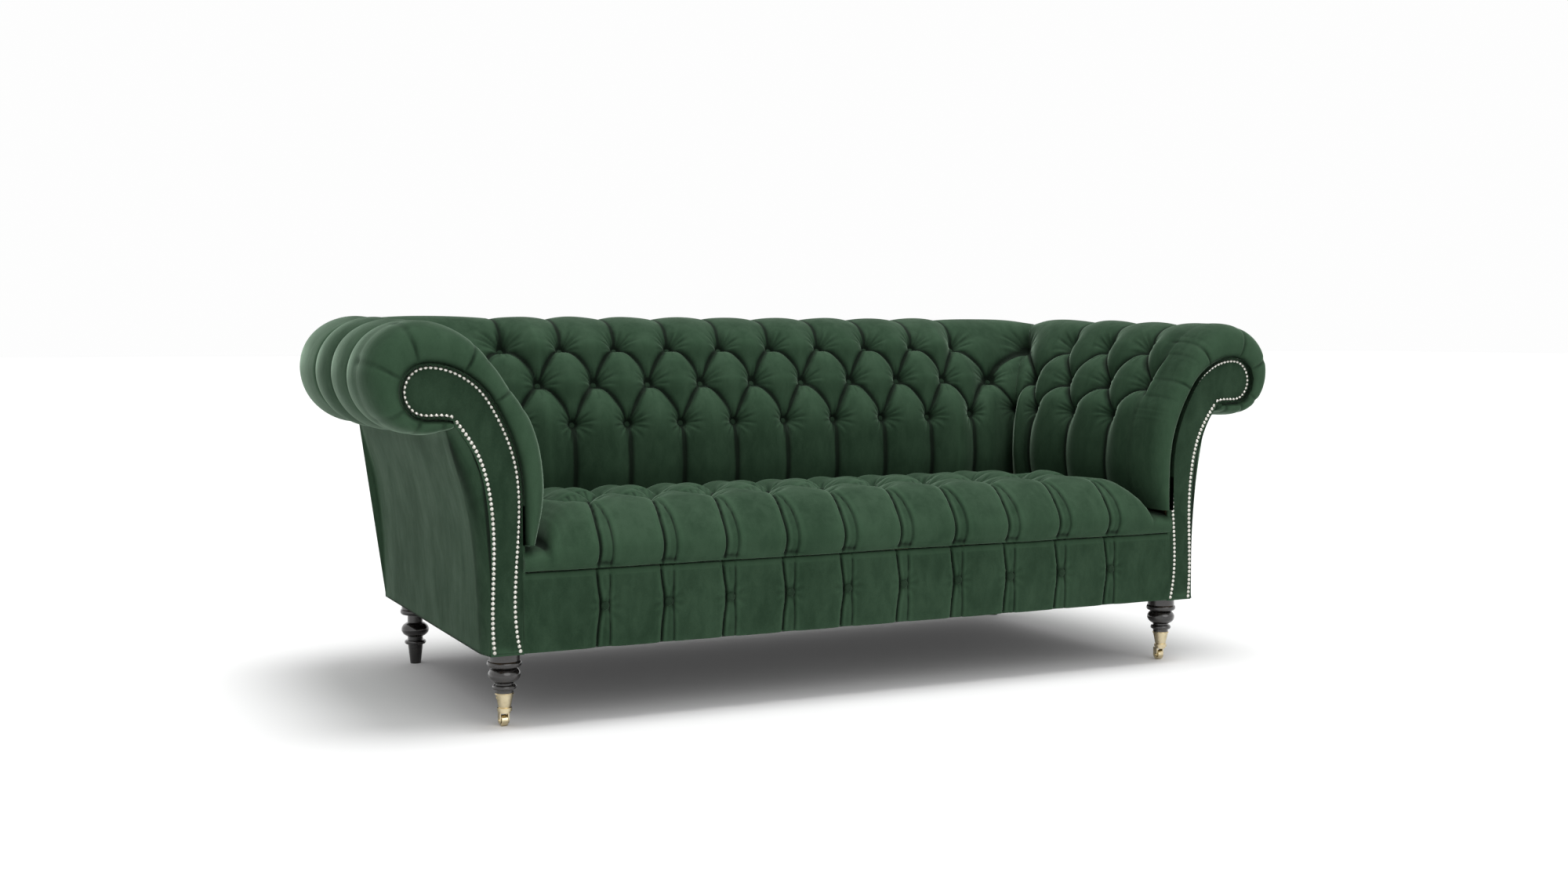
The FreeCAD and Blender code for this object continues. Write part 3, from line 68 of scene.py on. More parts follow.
# The frame's own lines, in millimetres
BASE_HALF = 829.0
BASE_FRONT = -447.0
BASE_REAR = 389.0
ROLL_SIDE = 1044.5
ROLL_REAR = 469.0
CREST = 790.0
ARM_CREST = 774.0
FRAME_FOOT = 147.3
SEAM = 300.0
PAD_FOOT = 353.0
MITRE = 575.5
NOSE_FRONT = BASE_FRONT + 3
NOSE_LENGTH = 46.0
NOSE_SOFT = 72.0
NOSE_WIDTH = 75.0
NOSE_BEND = [(0, 1), (0.05, -6), (0.16, -13), (0.34, -17), (0.55, -14), (0.76, -2), (0.91, 20), (0.98, 44)]
NOSE_BEND += [(1, NOSE_SOFT)]
BACK_PITCH = 132.0
ARM_PITCH = 158.0
ARM_FIRST = BASE_FRONT + 203
BUTTON_LEVEL = 228.0
BACK_FACE = 159.2
CORNER_TUCK = 45.0
SHEET_THICKNESS = 0.0008
SIDES = (("left", -1), ("right", 1))


# Sizes and colours that a user would change


def length(name, description, default):
    return FloatProperty(name=name, description=description, default=default, unit="LENGTH")


def colour_of(name, description, default):
    return FloatVectorProperty(name=name, description=description, default=default, subtype="COLOR")


class SofaSizes(bpy.types.PropertyGroup):
    pleat: length("Pleat depth", "Depth of the creases between tufts", 0.028)
    pit: length("Pit depth", "Further depth of a pit at its button", 0.02)
    swing: FloatProperty(
        name="Fold swing",
        description="How far a diamond's upper folds bow outwards",
        default=0.6,
        min=0,
        max=1,
    )
    knife: length("Knife pleat depth", "Depth of the flat pleats of the seat front", 0.009)
    weave_step: length("Mesh step", "Spacing of the pads' mesh", 0.0032)


class SofaColours(bpy.types.PropertyGroup):
    velvet: colour_of("Velvet", "Velvet seen along its pile", (0.0185, 0.0425, 0.0225))
    velvet_brushed: colour_of("Brushed velvet", "Velvet brushed against its pile", (0.034, 0.07, 0.039))
    lacquer: colour_of("Leg lacquer", "Lacquer of the turned legs", (0.009, 0.008, 0.008))
    brass: colour_of("Castor brass", "Pale plated brass", (0.78, 0.68, 0.46))
    nails: colour_of("Nail heads", "Bright upholstery nails", (0.74, 0.73, 0.68))
    floor: colour_of("Floor", "Studio floor", (0.9, 0.9, 0.9))


# Smooth lines and grids


def smooth(knots, values):
    """A natural cubic curve: a function that gives its values and slopes at places along its knots."""
    values = np.asarray(values, float).reshape(len(knots), -1)
    step = np.diff(knots)[:, None]
    system = np.eye(len(knots))
    right = np.zeros(values.shape)
    for n in range(1, len(knots) - 1):
        before, after = step[n - 1, 0], step[n, 0]
        system[n, n - 1 : n + 2] = before, 2 * (before + after), after
        right[n] = 6 * ((values[n + 1] - values[n]) / after - (values[n] - values[n - 1]) / before)
    bend = np.linalg.solve(system, right)

    def at(places):
        places = np.clip(places, knots[0], knots[-1])
        n = np.clip(np.searchsorted(knots, places, side="right") - 1, 0, len(knots) - 2)
        h = step[n]
        a = (knots[n + 1] - places)[:, None] / h
        b = 1 - a
        low, high, low_bend, high_bend = values[n], values[n + 1], bend[n], bend[n + 1]
        here = a * low + b * high + ((a**3 - a) * low_bend + (b**3 - b) * high_bend) * h**2 / 6
        slope = (high - low) / h + ((1 - 3 * a**2) * low_bend + (3 * b**2 - 1) * high_bend) * h / 6
        return here, slope

    return at


def lengths_along(points):
    """Distances along a run of points."""
    points = np.asarray(points, float)
    return np.concatenate(([0], np.cumsum(np.linalg.norm(np.diff(points, axis=0), axis=1))))


def outline(points, shares):
    """Places and left-hand normals at shares of the way along a smooth line through points."""
    knots = lengths_along(points)
    places, slopes = smooth(knots, points)(np.asarray(shares) * knots[-1])
    normals = np.stack((-slopes[:, 1], slopes[:, 0]), 1)
    return places, normals / np.linalg.norm(normals, axis=1)[:, None]


def rows_along(points, rows, shares):
    """The row number at shares of the way along a smooth line through points."""
    knots = lengths_along(points)
    return smooth(knots, rows)(np.asarray(shares) * knots[-1])[0][:, 0]


def evenly(points, count):
    """Points spaced evenly along straight runs."""
    points = np.asarray(points, float)
    knots = lengths_along(points)
    places = np.linspace(0, knots[-1], count)
    return np.stack([np.interp(places, knots, points[:, n]) for n in range(points.shape[1])], 1)


def mixed(first, second, share):
    """Part of the way from one outline to another."""
    return np.asarray(first, float) * (1 - share) + np.asarray(second, float) * share


def eased(value, start, end):
    """From 0 at start to 1 at end, with soft ends."""
    share = np.clip((np.asarray(value, float) - start) / (end - start), 0, 1)
    return share * share * (3 - 2 * share)


def unevenness(u, v, cell, seed):
    """Soft seeded unevenness from -1 to 1 over a surface, with features as large as a cell."""
    u, v = np.broadcast_arrays(np.asarray(u, float) / cell, np.asarray(v, float) / cell)
    grid = np.random.default_rng(seed).uniform(-1, 1, (64, 64))
    i, j = np.floor(u).astype(int), np.floor(v).astype(int)
    a, b = u - i, v - j
    a, b = a * a * (3 - 2 * a), b * b * (3 - 2 * b)
    i, j, next_i, next_j = i % 64, j % 64, (i + 1) % 64, (j + 1) % 64
    top = grid[j, i] * (1 - a) + grid[j, next_i] * a
    return top * (1 - b) + (grid[next_j, i] * (1 - a) + grid[next_j, next_i] * a) * b


def link_piece(name, bm, material, body="sofa"):
    """Makes an object of a finished mesh that rides on a body."""
    mesh = bpy.data.meshes.new(name)
    bm.to_mesh(mesh)
    bm.free()
    piece = bpy.data.objects.new(name, mesh)
    bpy.context.scene.collection.objects.link(piece)
    mesh.materials.append(material)
    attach(piece, body)
    return piece


def hollows(places, reach=4, full=2.4):
    """How far each point of a closed grid lies below its neighbours: 1 in a crease, below 0 on a ridge."""
    mean = places
    for axis in (0, 1):
        margin = [(0, 0)] * 3
        margin[axis] = (reach, reach)
        padded = np.pad(mean, margin, mode="edge")
        count, window = places.shape[axis], 2 * reach + 1
        mean = sum(padded.take(range(n, n + count), axis=axis) for n in range(window)) / window
    facing = np.cross(np.gradient(places, axis=1), np.gradient(places, axis=0))
    facing /= np.linalg.norm(facing, axis=2)[..., None] + 1e-12
    side = math.copysign(1, ((places - places.mean(0)) * facing).sum())
    return np.clip(side * ((mean - places) * facing).sum(2) / MM / full, -1, 1)


def moved_grid(places, shade=0.0):
    """A grid whose points move to their places; its rows close round, and its two ends are filled."""
    rows, columns = places.shape[:2]
    # The hollow mask lets the velvet paint shade into the creases; shade darkens the whole piece with a
    # further painted shade
    hollow = np.clip(hollows(places) + shade, -1, 1)
    bm = bmesh.new()
    depth = bm.verts.layers.float.new("hollow")
    cloth = bm.loops.layers.uv.new("cloth")
    bmesh.ops.create_grid(bm, x_segments=columns - 1, y_segments=rows - 1, size=1, calc_uvs=True)
    across = np.linalg.norm(np.diff(places, axis=1), axis=2).sum(1).max()
    along = np.linalg.norm(np.diff(places, axis=0), axis=2).sum(0).max()
    edge = []
    for vert in bm.verts:
        i = round((vert.co.x + 1) / 2 * (columns - 1))
        j = round((vert.co.y + 1) / 2 * (rows - 1))
        vert.co = places[j, i]
        vert[depth] = float(hollow[j, i])
        if j in (0, rows - 1):
            edge.append(vert)
    for face in bm.faces:
        face.smooth = True
        for loop in face.loops:
            loop[cloth].uv = (loop[cloth].uv.x * across, loop[cloth].uv.y * along)
    bmesh.ops.remove_doubles(bm, verts=edge, dist=1e-6)
    rims = [one for one in bm.edges if one.is_boundary]
    for one in rims:
        one.smooth = False
    made = bmesh.ops.holes_fill(bm, edges=rims, sides=0)["faces"]
    bmesh.ops.triangulate(bm, faces=made, quad_method="BEAUTY", ngon_method="EAR_CLIP")
    bmesh.ops.recalc_face_normals(bm, faces=bm.faces)
    return bm


# Materials


def add(tree, kind, links=None, **settings):
    """Adds a node with its settings, values and links."""
    made = tree.nodes.new(kind)
    for key, value in settings.items():
        setattr(made, key, value)
    for socket, source in (links or {}).items():
        if isinstance(source, bpy.types.NodeSocket):
            tree.links.new(source, made.inputs[socket])
        else:
            made.inputs[socket].default_value = source
    return made


def group_of(name, inputs, outputs):
    """A new node group with its named sockets, and its two end nodes. A tuple makes a colour socket, a
    number a value socket, and None a vector socket."""
    tree = bpy.data.node_groups.new(name, "ShaderNodeTree")
    kinds = {tuple: "NodeSocketColor", float: "NodeSocketFloat", type(None): "NodeSocketVector"}
    for label, default in {"Vector": None, **inputs}.items():
        socket = tree.interface.new_socket(label, in_out="INPUT", socket_type=kinds[type(default)])
        if default is not None:
            socket.default_value = default
    shown = {"Colour": "NodeSocketColor", "Normal": "NodeSocketVector"}
    for label in outputs:
        kind = shown.get(label, "NodeSocketFloat")
        tree.interface.new_socket(label, in_out="OUTPUT", socket_type=kind)
    return tree, tree.nodes.new("NodeGroupInput"), tree.nodes.new("NodeGroupOutput")


def ranged(tree, source, low, high, new_low=0.0, new_high=1.0):
    """A value moved from one range to another."""
    made = add(
        tree,
        "ShaderNodeMapRange",
        {"Value": source, "From Min": low, "From Max": high, "To Min": new_low, "To Max": new_high},
    )
    return made.outputs["Result"]


def sums(tree, first, second, operation="ADD"):
    return add(tree, "ShaderNodeMath", {0: first, 1: second}, operation=operation).outputs[0]


def blended(tree, share, first, second, mode="MIX"):
    """Two colours mixed by a share."""
    made = add(tree, "ShaderNodeMix", {0: share, 6: first, 7: second}, data_type="RGBA", blend_type=mode)
    return made.outputs[2]


def noise(tree, place, scale, detail, roughness=0.5, distortion=0.0):
    settings = {"Vector": place, "Scale": scale, "Detail": detail, "Roughness": roughness}
    return add(tree, "ShaderNodeTexNoise", {**settings, "Distortion": distortion}).outputs[0]


def stretched(tree, place, upwards):
    """Coordinates scaled along Z."""
    return add(tree, "ShaderNodeMapping", {"Vector": place, "Scale": (1, 1, upwards)}).outputs[0]


def bumped(tree, strength, distance, height):
    settings = {"Strength": strength, "Distance": distance, "Height": height}
    return add(tree, "ShaderNodeBump", settings).outputs[0]


def give(tree, end, results):
    """Links a group's results to its outputs."""
    for label, source in results.items():
        tree.links.new(source, end.inputs[label])


def nap_and_painted_light_group():
    """The lie of the pile: brushed patches, soft blotches and fine pile, with creases darker from flattened
    pile and painted shade, and ridges lighter from rubbed pile and a painted highlight.
    """
    tree, start, end = group_of(
        "velvet nap and painted light",
        {"Pile": (0.02, 0.06, 0.03, 1), "Brushed": (0.04, 0.1, 0.06, 1), "Relief": 0.3},
        ("Colour", "Roughness", "Sheen", "Normal"),
    )
    place = start.outputs["Vector"]
    drawn = stretched(tree, place, 0.45)
    patches = noise(tree, drawn, 7, 2, 0.5, 0.8)
    blotches = noise(tree, drawn, 46, 4, 0.62, 0.4)
    pile = noise(tree, place, 620, 2, 0.7)
    broad = ranged(tree, patches, 0.3, 0.7, -0.38, 0.38)
    small = ranged(tree, blotches, 0.32, 0.68, -0.3, 0.3)
    fine = ranged(tree, pile, 0.3, 0.7, -0.22, 0.22)
    lie = sums(tree, sums(tree, sums(tree, broad, small), fine), 0.5)
    colour = blended(tree, lie, start.outputs["Pile"], start.outputs["Brushed"])
    # The hollow mask darkens the creases and lightens the ridges: partly flattened and rubbed pile, partly
    # painted shade and painted highlight
    hollow = add(tree, "ShaderNodeAttribute", attribute_name="hollow").outputs["Fac"]
    # A lighter velvet on the ridges, for rubbed pile and a painted highlight
    ridge = blended(tree, 1.0, start.outputs["Brushed"], (1.5, 1.5, 1.5, 1), "MULTIPLY")
    colour = blended(tree, ranged(tree, hollow, -0.5, -0.05, 0.4, 0), colour, ridge)
    # A near-black velvet in the creases, for flattened pile and painted shade
    colour = blended(tree, ranged(tree, hollow, 0.03, 0.8, 0, 0.85), colour, (0.0025, 0.005, 0.003, 1))
    height = sums(tree, sums(tree, pile, 0.35, "MULTIPLY"), sums(tree, blotches, 0.8, "MULTIPLY"))
    results = {"Colour": colour, "Roughness": ranged(tree, lie, 0, 1, 0.92, 0.74)}
    results["Sheen"] = ranged(tree, hollow, -0.4, 0.6, 1.0, 0.12)
    results["Normal"] = bumped(tree, start.outputs["Relief"], 0.0012, height)
    give(tree, end, results)


def wear_group():
    """Fine handling marks and a soft unevenness for hard finishes."""
    inputs = {"Colour": (0.5, 0.5, 0.5, 1), "Worn": (0.4, 0.4, 0.4, 1), "Scale": 60.0}
    inputs |= {"Smoothest": 0.15, "Roughest": 0.35, "Relief": 0.1}
    tree, start, end = group_of("handling marks", inputs, ("Colour", "Roughness", "Normal"))
    place = start.outputs["Vector"]
    clouds = noise(tree, place, start.outputs["Scale"], 5, 0.6)
    marks = noise(tree, stretched(tree, place, 9), 260, 2)
    share = sums(tree, ranged(tree, clouds, 0.35, 0.7), ranged(tree, marks, 0.45, 0.75, 0, 0.35))
    results = {"Colour": blended(tree, share, start.outputs["Colour"], start.outputs["Worn"])}
    results["Roughness"] = ranged(tree, share, 0, 1, start.outputs["Smoothest"], start.outputs["Roughest"])
    results["Normal"] = bumped(tree, start.outputs["Relief"], 0.0003, share)
    give(tree, end, results)


def weave_group():
    """A plain weave with uneven threads."""
    inputs = {"Thread": (0.5, 0.4, 0.25, 1), "Shade": (0.2, 0.15, 0.08, 1), "Threads": 500.0}
    tree, start, end = group_of("plain weave", inputs, ("Colour", "Normal"))
    parts = add(tree, "ShaderNodeSeparateXYZ", {"Vector": start.outputs["Vector"]})
    ridges = []
    for axis in (0, 1):
        turned = sums(tree, parts.outputs[axis], start.outputs["Threads"], "MULTIPLY")
        ridges.append(sums(tree, sums(tree, turned, math.pi, "MULTIPLY"), 0, "SINE"))
    crossed = sums(tree, sums(tree, *ridges, "MULTIPLY"), 0.5, "MULTIPLY")
    raised = sums(tree, sums(tree, crossed, noise(tree, start.outputs["Vector"], 240, 3)), 0.1)
    shown = ranged(tree, raised, 0.1, 1)
    results = {"Colour": blended(tree, shown, start.outputs["Shade"], start.outputs["Thread"])}
    results["Normal"] = bumped(tree, 0.5, 0.0006, raised)
    give(tree, end, results)


def grouped(name, group, values, shader):
    """A material whose colour, roughness and normal come from a group, with constants on the shader."""
    material = bpy.data.materials.get(name)
    if material:
        return material
    material = bpy.data.materials.new(name)
    material.use_nodes = True
    tree = material.node_tree
    tree.nodes.clear()
    start = add(tree, "ShaderNodeTexCoord")
    effect = add(tree, "ShaderNodeGroup", node_tree=bpy.data.node_groups[group])
    tree.links.new(start.outputs["Object"], effect.inputs["Vector"])
    for label, value in values.items():
        effect.inputs[label].default_value = value
    surface = add(tree, "ShaderNodeBsdfPrincipled", shader)
    sockets = {"Colour": "Base Color", "Sheen": "Sheen Weight"}
    for output in effect.outputs:
        tree.links.new(output, surface.inputs[sockets.get(output.name, output.name)])
    add(tree, "ShaderNodeOutputMaterial", {"Surface": surface.outputs[0]})
    return material


def solid(colour):
    return (*colour, 1.0)


def velvet():
    colours = bpy.context.scene.sofa_colours
    return grouped(
        "bottle green velvet",
        "velvet nap and painted light",
        {"Pile": solid(colours.velvet), "Brushed": solid(colours.velvet_brushed), "Relief": 0.35},
        {"Sheen Roughness": 0.24, "Sheen Tint": (0.46, 0.62, 0.48, 1), "Specular IOR Level": 0.12},
    )


def marked(name, colour, worn, scale, smoothest, roughest, relief, shader):
    """A hard finish with handling marks."""
    values = {"Colour": solid(colour), "Worn": solid(worn), "Scale": scale}
    values |= {"Smoothest": smoothest, "Roughest": roughest, "Relief": relief}
    return grouped(name, "handling marks", values, shader)


def woven(name, thread, shade, threads, roughness):
    """A woven cloth's finish."""
    values = {"Thread": solid(thread), "Shade": solid(shade), "Threads": threads}
    return grouped(name, "plain weave", values, {"Roughness": roughness, "Specular IOR Level": 0.2})


class SOFA_OT_finishes(bpy.types.Operator):
    """Builds the shared effects and gives every carried-over solid its finish"""

    bl_idname = "sofa.finishes"
    bl_label = "Finishes"

    def execute(self, context):
        colours = context.scene.sofa_colours
        nap_and_painted_light_group()
        wear_group()
        weave_group()
        metal = {"Metallic": 1.0}
        lacquered = {"Coat Weight": 0.8, "Coat Roughness": 0.08, "Specular IOR Level": 0.5}
        beech, dark_beech = (0.42, 0.27, 0.14), (0.27, 0.16, 0.08)
        blued, dark_blued = (0.22, 0.23, 0.25), (0.12, 0.1, 0.09)
        finishes = {
            "frame_timber": marked(
                "beech rails", beech, dark_beech, 14, 0.5, 0.7, 0.4, {"Specular IOR Level": 0.3}
            ),
            "leg_lacquer": marked(
                "black lacquer", colours.lacquer, (0.02, 0.017, 0.015), 55, 0.16, 0.32, 0.05, lacquered
            ),
            "zinc_steel": marked(
                "zinc plate", (0.6, 0.6, 0.58), (0.42, 0.43, 0.44), 90, 0.3, 0.5, 0.1, metal
            ),
            "castor_brass": marked(
                "pale castor brass", colours.brass, (0.62, 0.52, 0.33), 70, 0.12, 0.3, 0.08, metal
            ),
            "nail_metal": marked(
                "bright nail heads", colours.nails, (0.5, 0.49, 0.44), 120, 0.2, 0.42, 0.05, metal
            ),
            "spring_steel": marked("blued spring steel", blued, dark_blued, 110, 0.3, 0.5, 0.1, metal),
            "hessian": woven("jute hessian", (0.42, 0.31, 0.17), (0.16, 0.11, 0.06), 420, 0.9),
            "dust_cloth": woven("black dust cloth", (0.016, 0.016, 0.017), (0.006, 0.006, 0.006), 700, 0.88),
            "foam": marked(
                "seat foam", (0.78, 0.7, 0.45), (0.68, 0.58, 0.34), 300, 0.85, 0.95, 0.5,
                {"Specular IOR Level": 0.1},
            ),
            "velvet": velvet(),
        }
        for part in frame["record"]["subparts"]:
            mesh = NODES[part["node"]].data
            mesh.materials.clear()
            mesh.materials.append(finishes[part["material_slot"]])
        return {"FINISHED"}


# Tufts and pleats


def tufts(row, column, sizes, pitch, spacing, phase, crest=0.4):
    """How far in, in millimetres, the sewn tufts draw the cover: diamonds between the three button
    rows, pleats over the crest and down to the seat, gathers round each pit."""
    inside = np.clip(row, 1, 3)
    base = np.minimum(np.floor(inside), 2)
    down = inside - base
    bowed = (1 - sizes.swing) * down + sizes.swing * np.sin(math.pi / 2 * down) ** 0.8
    shift = 0.5 * bowed + 0.5 * (base - 1)
    first = np.abs(np.sin(math.pi * (column - shift)))
    second = np.abs(np.sin(math.pi * (column + shift)))
    above, below = np.maximum(1 - row, 0), np.maximum(row - 3, 0)
    power = 0.62 - 0.30 * np.clip(above / 0.6, 0, 1) - 0.12 * np.clip(below / 0.5, 0, 1)
    pillow = (first * second + 0.0004) ** power
    fade = crest + (1 - crest) * np.exp(-((above / 0.5) ** 2))
    fade = fade * np.maximum(1 - 0.13 * below, 0.6)
    drawn = sizes.pleat / MM * (1 - pillow) * fade
    nearest = np.clip(np.round(inside), 1, 3)
    offset = np.where(nearest == 2, 0.5, 0.0)
    button = np.round(column - offset) + offset
    across = (column - button) * pitch
    along = (row - nearest) * spacing
    away = np.hypot(across, along)
    drawn += sizes.pit / MM * (0.6 * np.exp(-((away / 25) ** 2)) + 0.4 / (1 + (away / 13) ** 4))
    turn = np.arctan2(along, across)
    twist = 5.0 * np.sin(button * 12.9 + nearest * 7.3 + phase)
    window = np.exp(-(((away - 26) / 14) ** 2))
    drawn += window * np.sin(13 * turn + twist) + 0.5 * window * np.sin(23 * turn - twist)
    for crease in (column - shift, -column - shift):
        inward = (np.round(crease) - crease) * pitch
        shown = np.where((row > 1) & (row < 3), np.sin(math.pi * np.clip(down / 0.75, 0, 1)), 0.0)
        drawn += 1.5 * shown * np.exp(-(((inward - 9.5) / 1.9) ** 2))
    return drawn


PAD_ROWS = [5, 4, 3.5, 3, 2.5, 2, 1.5, 1, 0.5, 0, -0.5, -1, -1.5, -2, -2.5]


def roll_arc(centre, radius, angles):
    """Points on an arc at angles in degrees."""
    return [
        (centre[0] + radius * math.cos(math.radians(a)), centre[1] + radius * math.sin(math.radians(a)))
        for a in angles
    ]


def arm_points(roll_top, tuck=0.0):
    """An arm pad's outline, X and Z, from the seat over the roll to the tuck under it."""
    radius = 106.5 + (roll_top - ARM_CREST) / 2
    centre = (ROLL_SIDE - radius - tuck / 2, roll_top - radius)
    inner = [(-320.5, PAD_FOOT), (-342.5, 440), (-340.5, 509), (-326.5, 572), (-308.5, 609)]
    inner += [(-278.5, 648), (-257.5, 682), (-214.5, 735), (-172.5, roll_top - 14)]
    points = [(ROLL_SIDE + across, height) for across, height in inner]
    points.append((centre[0], roll_top))
    narrow = 1 - tuck / 2 / radius
    for across, height in roll_arc((0, centre[1]), radius, (45, 0, -45, -90)):
        points.append((centre[0] + across * narrow, height))
    points.append((BASE_HALF + 56, PAD_FOOT + 219))
    return points


def back_points():
    """The back pad's outline in the middle of the back, Y and Z."""
    radius = 109
    centre = (ROLL_REAR - radius, CREST - radius)
    inner = [(-363, PAD_FOOT), (-386, 440), (-384, 500), (-378, 555), (-358, 604)]
    inner += [(-335, 652), (-312, 695), (-286, 737), (-236, CREST - 16)]
    points = [(ROLL_REAR + across, height) for across, height in inner]
    points.append((centre[0] - 22, CREST))
    points += roll_arc(centre, radius, (45, 0, -45, -62))
    points.append((BASE_REAR + 1, 571))
    return points


FOOT_OUTER = BASE_HALF - 17
FOOT_INNER = FOOT_OUTER - 50
HEAD = (BASE_HALF + 100, ARM_CREST - 131)
HEAD_RADIUS = 46
INNER_NAILS = [
    (FOOT_INNER, FRAME_FOOT + 6),
    (FOOT_INNER, 450),
    (FOOT_INNER + 4, 492),
    (FOOT_INNER + 26, 566),
    (FOOT_INNER + 48, 610),
    (FOOT_INNER + 68, 640),
    (FOOT_INNER + 98, 666),
    *roll_arc(HEAD, HEAD_RADIUS, (105, 60, 0, -60, -110)),
    (FOOT_OUTER + 76, 597),
]
OUTER_NAILS = [
    (FOOT_OUTER + 72, 594),
    (FOOT_OUTER + 50, 565),
    (FOOT_OUTER + 28, 528),
    (FOOT_OUTER + 6, 452),
    (FOOT_OUTER, 395),
    (FOOT_OUTER, FRAME_FOOT + 6),
]


def beside_nails(points, distance, shares):
    """Points beside the nail line, towards the pad."""
    places, normals = outline(points, shares)
    return places + normals * distance


def arm_core():
    """The inner outline of an arm pad, which lies on the scroll boards."""
    knots = lengths_along(INNER_NAILS)
    start = knots[1] / knots[-1]
    points = beside_nails(INNER_NAILS, 6.6, np.linspace(start, 1, 30))
    return np.vstack(([points[0][0], PAD_FOOT], points))


def back_core():
    """The inner outline of the back pad, over the webbing and round the scroll rail."""
    head = (359, 665)
    face = BACK_FACE
    points = [(face, PAD_FOOT), (face, 395)]
    points += [(face + 0.636 * rise, 395 + rise) for rise in (45, 90, 130, 170, 207, 225)]
    points += roll_arc(head, 46, (150, 127, 105, 82, 60, 30, 0, -20, -40))
    points += [(BASE_REAR + 2, 621), (BASE_REAR - 6, 607)]
    return np.array(points)


ARM_CORNER = 3
BACK_CORNER = 5.5
NOSE_COLUMN = (NOSE_FRONT + NOSE_LENGTH - ARM_FIRST) / ARM_PITCH
ARM_STRAIGHT = 2.07
BACK_STRAIGHT = 4.58
CORE_COUNT = 26
NOSE_CREASES = ((-0.2, 1.0), (-0.81, 0.9), (-1.53, 0.8), (-1.87, 0.9), (1.0, 1.0), (2.0, 0.7), (-2.3, 0.6))


def seam_shown(row):
    """How strongly a corner seam is drawn in: less round the back of the roll and at the foot."""
    return np.clip(1 + 0.8 * row, 0, 1) * np.clip(1 - 0.45 * (row - 3), 0.1, 1)


def turned_share(column, straight, corner):
    """How far a section has taken on its corner seam's form."""
    return (max(column - straight, 0) / (corner - straight)) ** 2


def corner_seam(columns_away, row):
    """How far the cover is drawn in at a corner seam, in millimetres."""
    return 5 * math.exp(-((columns_away * 100) / 13) ** 2 / 2) * seam_shown(row)


def arm_section(column, shares, sizes):
    """An arm pad's cover at a column: its outline, normals, rows and how far it is drawn in."""
    share = (column - NOSE_COLUMN) / (ARM_CORNER - NOSE_COLUMN)
    turned = turned_share(column, ARM_STRAIGHT, ARM_CORNER)
    points = mixed(arm_points(ARM_CREST), arm_points(CREST), share)
    points = mixed(points, arm_points(CREST, CORNER_TUCK), turned)
    places, normals = outline(points, shares)
    row = rows_along(points, PAD_ROWS, shares)
    depth = tufts(row, column, sizes, ARM_PITCH, 100, 1.7) * eased(column, -0.93, -0.52)
    depth += corner_seam(ARM_CORNER - column, row)
    depth += 1.2 * unevenness(row * 100, column * ARM_PITCH + 500, 60, 5)
    return places, normals, row, depth


def arm_laid(column, points):
    """Lays points of an arm's section in its plane: straight across, then fanned round to the corner."""
    fan = max(column - ARM_STRAIGHT, 0) / (ARM_CORNER - ARM_STRAIGHT)
    straight = ARM_FIRST + min(column, ARM_STRAIGHT) * ARM_PITCH
    return [(a, straight * (1 - fan) + (a - MITRE - 0.5) * fan, b) for a, b in points]


def nose_creases(row):
    """Short radial creases in the rounded front of an arm, in millimetres."""
    lines = [strength * np.exp(-(((row - level) * 100) / 5.0) ** 2) for level, strength in NOSE_CREASES]
    return 5.0 * sum(lines)


def tucked_core(share):
    """An arm pad's core with its outer side drawn in, as its cover is at a corner seam."""
    core = arm_core()
    core[:, 0] -= share * 0.3 * np.maximum(core[:, 0] - 876, 0)
    return core


def arm_places(sizes):
    """Places of a right-hand arm pad's closed grid, in metres."""
    step = sizes.weave_step / MM
    core = evenly(arm_core(), CORE_COUNT)[::-1]
    rows = int(1090 / step)
    shares = np.linspace(0, 1, rows)
    count = int((ARM_CORNER - NOSE_COLUMN) * ARM_PITCH / step)
    nose_end = NOSE_COLUMN + (NOSE_SOFT - NOSE_LENGTH) / ARM_PITCH
    columns = np.linspace(nose_end, ARM_CORNER, count)
    rim_line = beside_nails(INNER_NAILS, 7.0, np.linspace(0, 1, 400))
    full, normals, row, depth = arm_section(nose_end, shares, sizes)
    nearest = np.argmin(np.linalg.norm(full[:, None, :] - rim_line[None], axis=2), axis=1)
    rim = rim_line[np.maximum.accumulate(nearest)]
    rim = smooth(np.arange(0, rows, 12.0), rim[::12])(np.arange(rows) * 1.0)[0]
    rim[:, 1] = np.maximum(rim[:, 1], PAD_FOOT)
    bend, facing = outline([(share * NOSE_WIDTH, y) for share, y in NOSE_BEND], np.linspace(0, 1, 42))
    sections = []
    for (across, y), (out, back) in zip(bend[:-1], facing[:-1]):
        share = min(across / NOSE_WIDTH, 1)
        fade = eased(share, 0.0, 0.12) * (1 - 0.75 * eased(share, 0.35, 1.0))
        drawn = depth * share**2 + nose_creases(row) * fade
        flat = mixed(rim, full, share) - normals * (drawn * abs(out))[:, None]
        shown = NOSE_FRONT + y + drawn * abs(back)
        places_y = np.concatenate((shown, np.full(len(core), NOSE_FRONT + y), shown[:1]))
        loop = np.vstack((flat, core, flat[:1]))
        sections.append([(a, front, b) for (a, b), front in zip(loop, places_y)])
    for column in columns:
        turned = turned_share(column, ARM_STRAIGHT, ARM_CORNER)
        core = evenly(tucked_core(turned), CORE_COUNT)[::-1]
        places, normals, row, depth = arm_section(column, shares, sizes)
        near = (column - nose_end) * ARM_PITCH
        depth = depth + 0.4 * nose_creases(row) * math.exp(-((near / 24) ** 2))
        flat = places - normals * depth[:, None]
        sections.append(arm_laid(column, np.vstack((flat, core, flat[:1]))))
    return np.array(sections).transpose(1, 0, 2) * MM


def back_end(tuck):
    """The back pad's outline at a corner seam: an arm's, but hung from the outside back."""
    points = [(x - MITRE, z) for x, z in arm_points(CREST, tuck)]
    return points[:-2] + [(BASE_REAR + 7, points[-2][1] + 18), back_points()[-1]]


